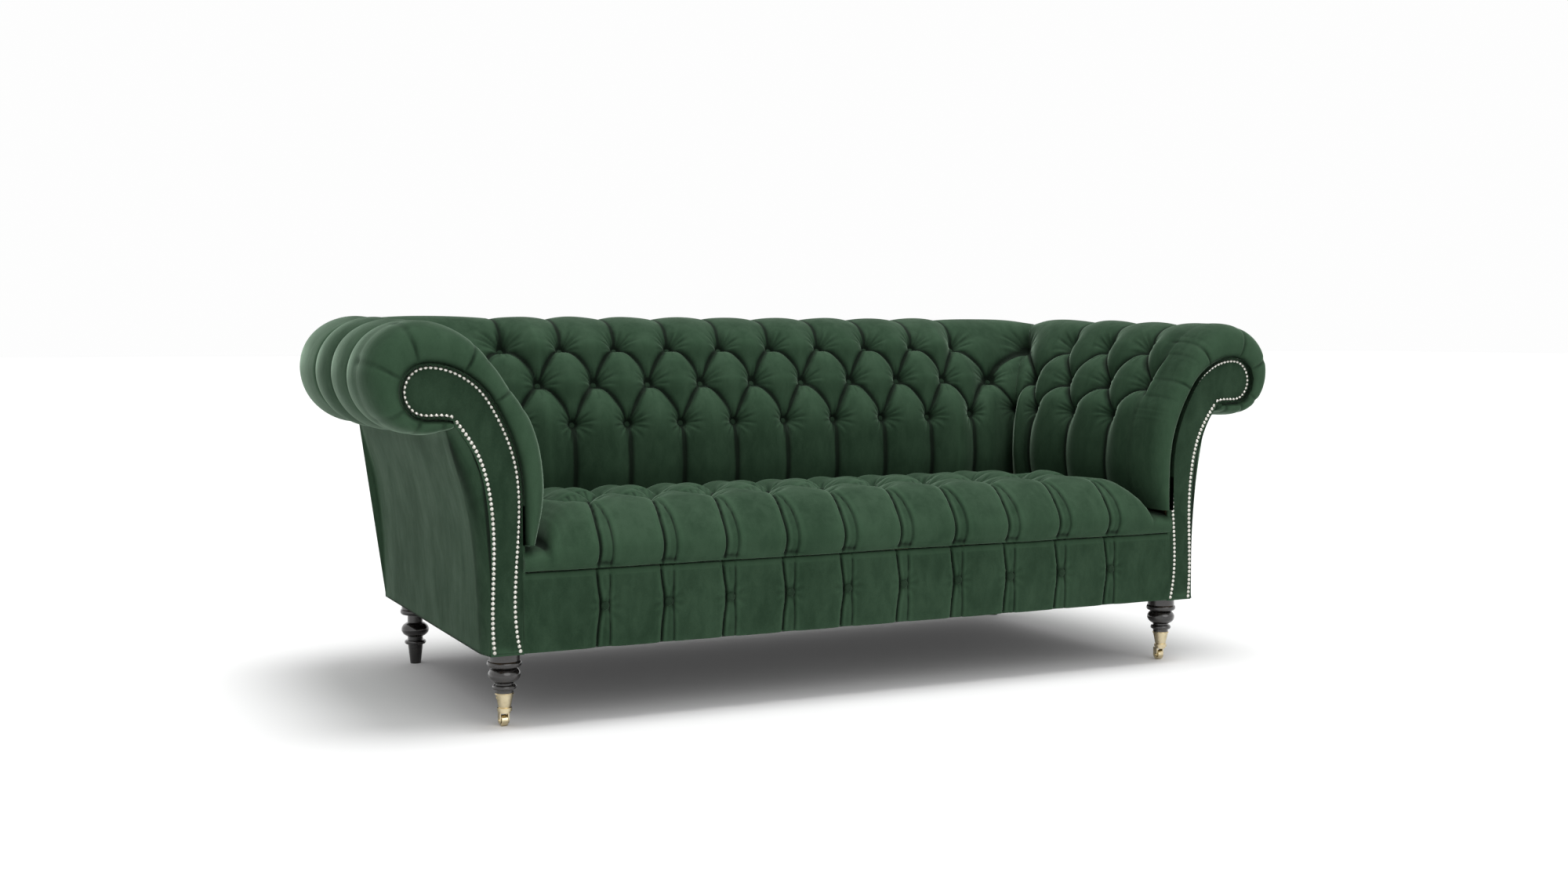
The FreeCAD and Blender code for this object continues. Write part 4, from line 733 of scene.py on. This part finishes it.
def back_section(column, shares, sizes):
    """The back pad's cover at a column: its outline, normals, rows and how far it is drawn in."""
    away = abs(column)
    corner = max(away - 4, 0) / (BACK_CORNER - 4)
    turned = turned_share(away, BACK_STRAIGHT, BACK_CORNER)
    points = mixed(mixed(back_points(), back_end(0), corner), back_end(CORNER_TUCK), turned)
    places, normals = outline(points, shares)
    row = rows_along(points, PAD_ROWS, shares)
    depth = tufts(row, column + 0.5, sizes, BACK_PITCH, 100, 0.4, crest=0.3)
    depth += corner_seam(BACK_CORNER - away, row)
    depth += 1.2 * unevenness(row * 100, column * BACK_PITCH + 900, 60, 11)
    return places, normals, row, depth


def back_laid(column, points):
    """Lays points of the back's section in its plane: straight, then fanned round to a corner."""
    fan = max(abs(column) - BACK_STRAIGHT, 0) / (BACK_CORNER - BACK_STRAIGHT)
    straight = min(abs(column), BACK_STRAIGHT) * BACK_PITCH
    sign = math.copysign(1, column)
    return [(sign * (straight * (1 - fan) + (a + MITRE - 0.5) * fan), a, b) for a, b in points]


def back_places(sizes):
    """Places of the back pad's closed grid, in metres."""
    step = sizes.weave_step / MM
    core_middle = evenly(back_core(), CORE_COUNT)
    side = tucked_core(1.0)[3:-6]
    end_core = np.vstack((back_core()[:2], [((BACK_FACE + side[0][0] - MITRE) / 2, 444)], side - (MITRE, 0)))
    end_core = evenly(np.vstack((end_core, back_core()[-1:])), CORE_COUNT)
    shares = np.linspace(0, 1, int(1060 / step))
    sections = []
    for column in np.linspace(-BACK_CORNER, BACK_CORNER, int(2 * BACK_CORNER * BACK_PITCH / step) + 1):
        places, normals, row, depth = back_section(column, shares, sizes)
        corner = max(abs(column) - 4, 0) / (BACK_CORNER - 4)
        flat = places - normals * depth[:, None]
        core = mixed(core_middle, end_core, corner)[::-1]
        sections.append(back_laid(column, np.vstack((flat, core, flat[:1]))))
    return np.array(sections).transpose(1, 0, 2) * MM


SEAT_TOP = [(-2, SEAM + 0.3), (-15, 315), (-22, 342), (-11, 370), (14, 398), (48, 420), (88, 430)]
SEAT_TOP += [(138, 431), (203, 433), (268, 431), (333, 427), (398, 422), (460, 414), (550, 398), (560, 345)]
SEAT_END = [(-2, SEAM + 0.3), (-9, 308), (-13, 317), (-12, 326), (-6, 334), (14, 341), (60, 345)]
SEAT_END += [(138, 347), (203, 347.5), (268, 347.5), (333, 347.5), (398, 347.5)]
SEAT_END += [(460, 347), (540, 345.5), (560, 336)]
SEAT_INSETS = (0, 46, 53, 60, 70, 85, 105, 130, 165)
SEAT_ENDED = (1, 1, 0.93, 0.66, 0.47, 0.31, 0.16, 0.06, 0)
SEAT_SIDE = 755.7


def knife_pleat(offset, fold, edge, depth):
    """A flat pleat seen across: a panel that rolls under at the fold, a strip, and a faint second edge.
    offset is the distance from the button's line, fold and edge the places of the two lines."""
    left = offset - fold
    panel = np.where(left < 0, np.exp(left / 7.5), 0.0)
    strip = np.where((left >= 0) & (offset < edge), 1.0, 0.0)
    width = np.maximum(edge - fold, 1)
    slope = np.clip(left / width, 0, 1)
    groove = np.exp(-((left / 2.8) ** 2))
    second = np.exp(-(((offset - edge) / 2.2) ** 2))
    beyond = np.where(offset >= edge, np.exp(-(offset - edge) / 9), 0.0)
    return depth * (
        0.75 * panel + strip * (0.62 - 0.3 * slope) + 0.8 * groove + 0.3 * second + 0.24 * beyond
    )


def seat_section(x, shares, sizes):
    """The seat pad's cover at a place along the seat: outline, normals, rows and how far it is drawn in."""
    inset = SEAT_SIDE - abs(x)
    end = np.interp(inset, SEAT_INSETS, SEAT_ENDED)
    points = mixed(SEAT_TOP, SEAT_END, end)
    places, normals = outline(points, shares)
    row = rows_along(points, PAD_ROWS[::-1], shares)
    column = x / BACK_PITCH + 0.5
    keep = 1 - eased(abs(x) / BACK_PITCH, 4.62, 5.0)
    top = tufts(row, column, sizes, BACK_PITCH, 65, 2.9) * 1.05
    front = 1 - eased(row, 0.15, 0.95)
    offset = (column - np.round(column)) * BACK_PITCH
    opening = 1 - eased(row, -0.9, 1.0)
    pleat = knife_pleat(offset, -12.0 * opening, 2.0 + 11.0 * opening, sizes.knife / MM)
    swell = 4.0 * (1 - np.abs(np.sin(math.pi * column)) ** 0.7)
    front_depth = (pleat + swell) * eased(row, -2.52, -2.25)
    depth = (top * (1 - front) + front_depth * front) * keep
    depth += unevenness(row * 70, x, 55, 21)
    depth += 2.0 * np.exp(-(row + 2.5) * 14)
    return places, normals, row, depth


def seat_places(sizes):
    """Places of the seat pad's closed grid, in metres."""
    step = sizes.weave_step / MM
    shares = np.linspace(0, 1, int(720 / step))
    core = evenly([(16, SEAM + 0.3), (16, 330), (264, 330), (560, 330)], CORE_COUNT)[::-1]
    sections = []
    for x in np.linspace(-SEAT_SIDE, SEAT_SIDE, int(2 * SEAT_SIDE / 2.8) + 1):
        places, normals, row, depth = seat_section(x, shares, sizes)
        flat = places - normals * depth[:, None]
        loop = np.vstack((flat, core, flat[:1]))
        sections.append([(x, BASE_FRONT + a, b) for a, b in loop])
    return np.array(sections).transpose(1, 0, 2) * MM


def border_places(sizes):
    """Places of the front border's closed grid, in metres."""
    step = sizes.weave_step / MM
    rows = int(156 / step)
    shares = np.linspace(0, 1, rows)
    points = [(0, FRAME_FOOT), (-2.8, FRAME_FOOT + 28), (-4, BUTTON_LEVEL - 24), (-4, BUTTON_LEVEL)]
    points += [(-4, BUTTON_LEVEL + 24), (-2.8, SEAM - 20), (0, SEAM - 0.3)]
    places, normals = outline(points, shares)
    height = places[:, 1]
    core = evenly([(16, FRAME_FOOT), (16, SEAM - 0.3)], 4)[::-1]
    bow = np.exp(-(((height - BUTTON_LEVEL) / 34) ** 2))
    sections = []
    for x in np.linspace(-SEAT_SIDE, SEAT_SIDE, int(2 * SEAT_SIDE / 1.9) + 1):
        column = x / BACK_PITCH + 0.5
        button = round(min(max(column, -4), 5))
        offset = (column - button) * BACK_PITCH
        fold = -13.5 + 6.5 * bow
        edge = 12.0 - 2.0 * bow
        depth = knife_pleat(offset, fold, edge, sizes.knife / MM * 0.85)
        away = np.hypot(offset, height - BUTTON_LEVEL)
        depth += 2.2 / (1 + (away / 15) ** 4)
        turn = np.arctan2(height - BUTTON_LEVEL, offset + 1e-6)
        depth += 0.5 * np.exp(-((away - 22) / 12) ** 2) * np.sin(9 * turn + button)
        near = min(SEAT_SIDE - abs(x), 40) / 40
        depth += 1.1 * unevenness(height * 0.6, x, 46, 31) * near
        depth += 2.6 * np.exp(-(SEAM - height) / 4.5) + 1.2 * np.exp(-(height - FRAME_FOOT) / 4)
        flat = places - normals * depth[:, None]
        loop = np.vstack((flat, core, flat[:1]))
        sections.append([(x, BASE_FRONT + a, b) for a, b in loop])
    return np.array(sections).transpose(1, 0, 2) * MM


def cushion(name, places, replaced, shade=0.0):
    """A padded piece from its closed grid; shade darkens it all over with a painted shade."""
    piece = link_piece(name, moved_grid(places, shade=shade), velvet())
    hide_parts(replaced)
    return piece


class SOFA_OT_seat(bpy.types.Operator):
    """Makes the buttoned seat cushion with its rolled, pleated front"""

    bl_idname = "sofa.seat"
    bl_label = "Seat cushion"

    def execute(self, context):
        cushion("seat_cushion", seat_places(context.scene.sofa_sizes), "seat_pad")
        return {"FINISHED"}


class SOFA_OT_back(bpy.types.Operator):
    """Makes the deep-buttoned back cushion and its roll"""

    bl_idname = "sofa.back"
    bl_label = "Back cushion"

    def execute(self, context):
        cushion("back_cushion", back_places(context.scene.sofa_sizes), "back_pad")
        return {"FINISHED"}


class SOFA_OT_arms(bpy.types.Operator):
    """Makes the two deep-buttoned arm cushions with their rounded fronts"""

    bl_idname = "sofa.arms"
    bl_label = "Arm cushions"

    def execute(self, context):
        places = arm_places(context.scene.sofa_sizes)
        for side_name, side in SIDES:
            cushion(f"{side_name}_arm_cushion", places * (side, 1, 1), f"{side_name}_arm_pad")
        return {"FINISHED"}


class SOFA_OT_border(bpy.types.Operator):
    """Makes the pleated front border"""

    bl_idname = "sofa.border"
    bl_label = "Front border"

    def execute(self, context):
        cushion("pleated_border", border_places(context.scene.sofa_sizes), "front_border")
        return {"FINISHED"}


def pit_of(section, row):
    """The floor of a pit in a section, and the direction out of it."""
    places, normals, rows, depth = section
    n = int(np.argmin(np.abs(rows - row)))
    floor = places[n] - normals[n] * depth[n]
    return floor, normals[n]


def covered_buttons(name, seats, replaced, radius=8.3, rise=0.5):
    """Velvet-covered buttons at pit floors, each a flattened ball on a tucked rim."""
    bm = bmesh.new()
    depth = bm.verts.layers.float.new("hollow")
    for place, direction in seats:
        made = bmesh.ops.create_uvsphere(bm, u_segments=14, v_segments=9, radius=radius * MM)["verts"]
        for vert in made:
            # Each button is marked as lying in a crease, so the velvet darkens it: painted shade in its pit
            vert[depth] = 0.35
            if vert.co.z < 0:
                vert.co.z *= 0.5
                vert.co.xy = vert.co.xy * 0.94
        bmesh.ops.scale(bm, verts=made, vec=(1, 1, rise))
        turn = Vector(direction).to_track_quat("Z", "Y").to_matrix()
        bmesh.ops.rotate(bm, verts=made, cent=(0, 0, 0), matrix=turn)
        bmesh.ops.translate(bm, verts=made, vec=Vector(place) * MM)
    for face in bm.faces:
        face.smooth = True
    piece = link_piece(name, bm, velvet())
    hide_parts(replaced)
    return piece


def tuft_seats(section, laid, outer_columns, middle_columns, sizes):
    """Where the buttons of three rows sit, 1 mm above their pits' floors, and the directions outwards."""
    shares = np.linspace(0, 1, 2400)
    seats = []
    for row in (1, 2, 3):
        for column in middle_columns if row == 2 else outer_columns:
            floor, out = pit_of(section(column, shares, sizes), row)
            low, high = laid(column, [floor + out, floor + out * 2])
            seats.append((low, Vector(high) - Vector(low)))
    return seats


def seat_section_at(column, shares, sizes):
    return seat_section(column * BACK_PITCH, shares, sizes)


def seat_laid(column, points):
    """Lays points of the seat's section in its plane."""
    return [(column * BACK_PITCH, BASE_FRONT + a, b) for a, b in points]


class SOFA_OT_buttons(bpy.types.Operator):
    """Makes the velvet-covered buttons in the pits and on the border"""

    bl_idname = "sofa.buttons"
    bl_label = "Buttons"

    def execute(self, context):
        sizes = context.scene.sofa_sizes
        between = np.arange(-5, 5) + 0.5
        back = tuft_seats(back_section, back_laid, between, range(-5, 6), sizes)
        covered_buttons("back_tuft_buttons", back, "back_buttons")
        arm = tuft_seats(arm_section, arm_laid, (0, 1, 2), (-0.5, 0.5, 1.5, 2.5), sizes)
        for side_name, side in SIDES:
            seats = [((side * x, y, z), (side * out.x, out.y, out.z)) for (x, y, z), out in arm]
            covered_buttons(f"{side_name}_arm_tuft_buttons", seats, f"{side_name}_arm_buttons")
        seat = tuft_seats(seat_section_at, seat_laid, between, range(-4, 5), sizes)
        covered_buttons("seat_tuft_buttons", seat, "seat_buttons")
        front = BASE_FRONT - 1.4
        border = [((column * BACK_PITCH, front, BUTTON_LEVEL), (0, -1, 0)) for column in between]
        covered_buttons("border_pleat_buttons", border, "border_buttons", 8.6, 0.55)
        return {"FINISHED"}


def scroll_outline(distance, count=220):
    """The arm's scroll outline beside the nail line, as points from foot to foot."""
    inner = beside_nails(INNER_NAILS, distance, np.linspace(0, 1, count))
    outer = beside_nails(OUTER_NAILS, distance, np.linspace(0, 1, count // 2))
    inner[0, 1] = outer[-1, 1] = FRAME_FOOT + 6 - max(distance, 2)
    return np.vstack((inner, outer, inner[:1]))


# Distance outside the nail line, and rise from the board
FACING_EDGE = ((7.6, -2.0), (7.6, 1.7), (7.0, 2.5), (5.4, 3.1), (3.2, 3.3), (1.2, 3.0), (-0.6, 2.9))
FACING_EDGE += ((-3.0, 3.2), (-8, 3.6))


class SOFA_OT_facings(bpy.types.Operator):
    """Makes the velvet scroll facings, softly rounded at their edges and drawn in by the nails"""

    bl_idname = "sofa.facings"
    bl_label = "Arm facings"

    def execute(self, context):
        sections = [
            [(a, NOSE_FRONT - rise, b) for a, b in scroll_outline(distance)]
            for distance, rise in FACING_EDGE
        ]
        places = np.array(sections).transpose(1, 0, 2) * MM
        for side_name, side in SIDES:
            mirrored = places * (side, 1, 1)
            # The facings get a painted shade over their whole face, so they render darker than the rest of
            # the velvet
            cushion(f"{side_name}_velvet_facing", mirrored, f"{side_name}_arm_facing", 0.12)
        return {"FINISHED"}


COVER_FULL = [(0, FRAME_FOOT), (4, 250), (9, 329), (25, 438), (43, 506), (53, 545), (58, 566)]
COVER_TOP = [(63, 580), (67, 592)]


class SOFA_OT_outside_arms(bpy.types.Operator):
    """Makes the plain velvet covers outside the arms"""

    bl_idname = "sofa.outside_arms"
    bl_label = "Outside arm covers"

    def execute(self, context):
        front, full, rear = BASE_FRONT + 1, BASE_FRONT + 45, BASE_REAR - 8.3
        run = np.concatenate((np.linspace(front, full, 14)[:-1], np.linspace(full, rear, 140)))
        shares = np.linspace(0, 1, 84)
        raised = COVER_FULL + COVER_TOP
        edge = beside_nails(OUTER_NAILS, 6.1, np.linspace(0, 1, 60))[::-1] - (BASE_HALF, 0)
        edge[0, 1] = FRAME_FOOT
        edge = evenly(edge, len(raised))
        inner_run = evenly(raised, 8)[::-1] - (8, 0)
        inner_edge = evenly(edge, 8)[::-1]
        sections = []
        for y in run:
            share = eased(y, front - 18, full)
            thin = min((y - front) / (full - front), 1)
            points = mixed(edge + (0.9, 0), raised, share)
            places, normals = outline(points, shares)
            soft = min((y - front) / 30, 1, (rear - y) / 30)
            puff = 1.2 * unevenness(places[:, 1], y, 85, 41) * soft
            rolled = 2.4 * np.exp(-(rear - y) / 4.0)
            foot = 1.6 * np.exp(-(places[:, 1] - FRAME_FOOT) / 5)
            flat = places + normals * (puff * 0.5 - rolled - foot)[:, None]
            flat[:, 0] = np.minimum(flat[:, 0], places[:, 0] + 1.5)
            core = mixed(inner_edge, inner_run, thin)
            loop = np.vstack((flat, core, flat[:1]))
            sections.append([(BASE_HALF + a, y, b) for a, b in loop])
        places = np.array(sections).transpose(1, 0, 2) * MM
        for side_name, side in SIDES:
            mirrored = places * (side, 1, 1)
            cushion(f"{side_name}_outside_cover", mirrored, f"{side_name}_outside_arm_cover")
        return {"FINISHED"}


class SOFA_OT_outside_back(bpy.types.Operator):
    """Makes the plain velvet cover outside the back"""

    bl_idname = "sofa.outside_back"
    bl_label = "Outside back cover"

    def execute(self, context):
        shares = np.linspace(0, 1, 90)
        line, _ = outline(COVER_FULL, shares)
        across = np.linspace(-1, 1, 330)
        grid = np.zeros((len(shares), len(across), 3))
        for n, (half, height) in enumerate(line):
            x = across * (BASE_HALF + half)
            edge = BASE_HALF + half - np.abs(x)
            y = BASE_REAR - 2.6 * np.exp(-edge / 4.5)
            y -= 1.6 * math.exp(-(height - FRAME_FOOT) / 5)
            y -= 0.55 + 0.55 * unevenness(x, height, 95, 51) * np.minimum(edge / 40, 1)
            grid[n] = np.stack((x, y, np.full_like(x, height)), 1)
        back = grid[::-1].copy()[:: len(shares) // 6]
        back[:, :, 1] = BASE_REAR - 8
        places = np.concatenate((grid, back, grid[:1])) * MM
        cushion("outside_back_panel", places, "outside_back_cover")
        return {"FINISHED"}


LEGS = ((-778.4, -392.5), (778.4, -392.5), (-778.4, 316.0), (778.4, 316.0))
LEG_HOLE = 0.0308


def corners_of(node):
    low, high = (Vector(corner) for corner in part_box(node))
    return low, high


def cloth_over(node, columns, rows, height):
    """A flat cloth over a solid's box, whose height depends on the shares across and along."""
    low, high = corners_of(node)
    size_x, size_y = high.x - low.x, high.y - low.y
    bm = bmesh.new()
    cloth = bm.loops.layers.uv.new("cloth")
    bmesh.ops.create_grid(bm, x_segments=columns, y_segments=rows, size=1, calc_uvs=True)
    for vert in bm.verts:
        share_x, share_y = (vert.co.x + 1) / 2, (vert.co.y + 1) / 2
        z = height(low.z, high.z, share_x, share_y)
        vert.co = (low.x + share_x * size_x, low.y + share_y * size_y, z)
    for face in bm.faces:
        face.smooth = True
        for loop in face.loops:
            loop[cloth].uv = (loop[cloth].uv.x * size_x, loop[cloth].uv.y * size_y)
    return bm, (size_x, size_y)


def sheet_piece(name, bm, material, replaced):
    """A thin stretched cloth from a flat mesh."""
    piece = link_piece(name, bm, bpy.data.materials[material])
    thick = piece.modifiers.new("thickness", "SOLIDIFY")
    thick.thickness, thick.offset = SHEET_THICKNESS, 0.0
    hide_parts(replaced)


def cut_round_legs(bm):
    """Cuts a round hole in the dust cover at each leg."""
    inside = [
        vert
        for vert in bm.verts
        if any(math.hypot(vert.co.x - x * MM, vert.co.y - y * MM) < LEG_HOLE for x, y in LEGS)
    ]
    bmesh.ops.delete(bm, geom=inside, context="VERTS")
    for vert in bm.verts:
        if vert.is_boundary:
            for x, y in LEGS:
                arm = Vector((vert.co.x - x * MM, vert.co.y - y * MM))
                if arm.length < 2 * LEG_HOLE:
                    arm *= LEG_HOLE / arm.length
                    vert.co.x, vert.co.y = x * MM + arm.x, y * MM + arm.y


def dust_height(low, high, share_x, share_y):
    return high - 0.0009 - 0.006 * math.sin(math.pi * share_x) * math.sin(math.pi * share_y)


def jute_height(low, high, share_x, share_y):
    return (low + high) / 2 + 0.0002 * math.sin(share_x * 57)


class SOFA_OT_linings(bpy.types.Operator):
    """Makes the dust cover under the sofa, the hessian over the springs and the seat core"""

    bl_idname = "sofa.linings"
    bl_label = "Linings"

    def execute(self, context):
        bm, flat = cloth_over("dust_cover", 150, 74, dust_height)
        cut_round_legs(bm)
        sheet_piece("dust_lining", bm, "black dust cloth", "dust_cover")
        bm, flat = cloth_over("seat_hessian", 120, 50, jute_height)
        sheet_piece("jute_lining", bm, "jute hessian", "seat_hessian")

        low, high = corners_of("seat_core")
        bm = bmesh.new()
        bmesh.ops.create_cube(bm, size=1)
        bmesh.ops.scale(bm, verts=bm.verts, vec=high - low)
        bmesh.ops.translate(bm, verts=bm.verts, vec=(low + high) / 2)
        bmesh.ops.bevel(
            bm,
            geom=bm.edges[:],
            offset=0.006,
            offset_type="OFFSET",
            affect="EDGES",
            segments=4,
            profile=0.5,
            material=-1,
        )
        for face in bm.faces:
            face.smooth = True
        core = link_piece("foam_core", bm, bpy.data.materials["seat foam"])
        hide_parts("seat_core")
        return {"FINISHED"}


# Studio

# Name, strength, angular size and turn in degrees
LIGHTS = (("key_light", 1.5, 26, (4, 6, 0)), ("front_light", 0.6, 45, (55, 0, 8)))
FOCAL_SHARE = 2169.5 / 2000


class SOFA_OT_stage(bpy.types.Operator):
    """Sets up the camera, a plain pale floor and soft studio light"""

    bl_idname = "sofa.stage"
    bl_label = "Stage"

    def execute(self, context):
        scene = context.scene
        scene.view_settings.view_transform = "Standard"
        eye = bpy.data.cameras.new("photographer")
        eye.sensor_width = 36
        eye.lens = FOCAL_SHARE * eye.sensor_width
        eye.clip_end = 200
        camera = bpy.data.objects.new("photographer", eye)
        camera.location = (-1.6934, -3.5147, 0.7445)
        camera.rotation_euler = (math.radians(90 - 3.76), 0, math.radians(-25.776))
        scene.collection.objects.link(camera)
        scene.camera = camera

        bm = bmesh.new()
        bmesh.ops.create_grid(bm, x_segments=2, y_segments=2, size=60)
        mesh = bpy.data.meshes.new("studio_floor")
        bm.to_mesh(mesh)
        bm.free()
        floor = bpy.data.objects.new("studio_floor", mesh)
        scene.collection.objects.link(floor)
        material = bpy.data.materials.new("studio floor")
        material.use_nodes = True
        tree = material.node_tree
        tree.nodes.clear()
        light = add(tree, "ShaderNodeLightPath")
        colour = solid(scene.sofa_colours.floor)
        matte = add(tree, "ShaderNodeBsdfDiffuse", {"Color": colour})
        glow = add(tree, "ShaderNodeEmission", {"Color": (1, 1, 1, 1), "Strength": 0.05})
        lifted = add(tree, "ShaderNodeAddShader", {0: matte.outputs[0], 1: glow.outputs[0]})
        choices = {0: light.outputs["Is Camera Ray"], 1: matte.outputs[0], 2: lifted.outputs[0]}
        seen = add(tree, "ShaderNodeMixShader", choices)
        add(tree, "ShaderNodeOutputMaterial", {"Surface": seen.outputs[0]})
        mesh.materials.append(material)

        world = bpy.data.worlds.new("studio air")
        scene.world = world
        world.use_nodes = True
        tree = world.node_tree
        tree.nodes.clear()
        light = add(tree, "ShaderNodeLightPath")
        shown = sums(tree, light.outputs["Is Camera Ray"], light.outputs["Is Glossy Ray"], "MAXIMUM")
        where = add(tree, "ShaderNodeTexCoord").outputs["Generated"]
        height = add(tree, "ShaderNodeSeparateXYZ", {"Vector": where}).outputs["Z"]
        overhead = sums(tree, height, 2, "POWER")
        lit = ranged(tree, overhead, 0, 1, 0.09, 1.3)
        strength = sums(tree, lit, sums(tree, shown, 0.985, "MULTIPLY"), "MAXIMUM")
        air = add(tree, "ShaderNodeBackground", {"Color": (1, 1, 1, 1), "Strength": strength})
        add(tree, "ShaderNodeOutputWorld", {"Surface": air.outputs[0]})

        for name, energy, angle, turn in LIGHTS:
            lamp = bpy.data.lights.new(name, "SUN")
            lamp.energy = energy
            lamp.angle = math.radians(angle)
            holder = bpy.data.objects.new(name, lamp)
            holder.rotation_euler = [math.radians(part) for part in turn]
            scene.collection.objects.link(holder)
        return {"FINISHED"}


class SOFA_PT_pieces(bpy.types.Panel):
    bl_label = "Chesterfield"
    bl_idname = "SOFA_PT_pieces"
    bl_space_type = "VIEW_3D"
    bl_region_type = "UI"
    bl_category = "Sofa"

    def draw(self, context):
        for group in (context.scene.sofa_sizes, context.scene.sofa_colours):
            for name in group.bl_rna.properties.keys():
                if name not in ("rna_type", "name"):
                    self.layout.prop(group, name)
        for operator in OPERATORS:
            self.layout.operator(operator.bl_idname)


OPERATORS = (
    SOFA_OT_stage,
    SOFA_OT_finishes,
    SOFA_OT_seat,
    SOFA_OT_back,
    SOFA_OT_arms,
    SOFA_OT_border,
    SOFA_OT_buttons,
    SOFA_OT_facings,
    SOFA_OT_outside_arms,
    SOFA_OT_outside_back,
    SOFA_OT_linings,
)
CLASSES = (SofaSizes, SofaColours, *OPERATORS, SOFA_PT_pieces)


def register():
    for one in CLASSES:
        bpy.utils.register_class(one)
    bpy.types.Scene.sofa_sizes = PointerProperty(type=SofaSizes)
    bpy.types.Scene.sofa_colours = PointerProperty(type=SofaColours)


def unregister():
    del bpy.types.Scene.sofa_colours
    del bpy.types.Scene.sofa_sizes
    for one in reversed(CLASSES):
        bpy.utils.unregister_class(one)


def main():
    register()
    for operator in OPERATORS:
        getattr(bpy.ops.sofa, operator.bl_idname.split(".")[1])()


if __name__ == "__main__":
    main()
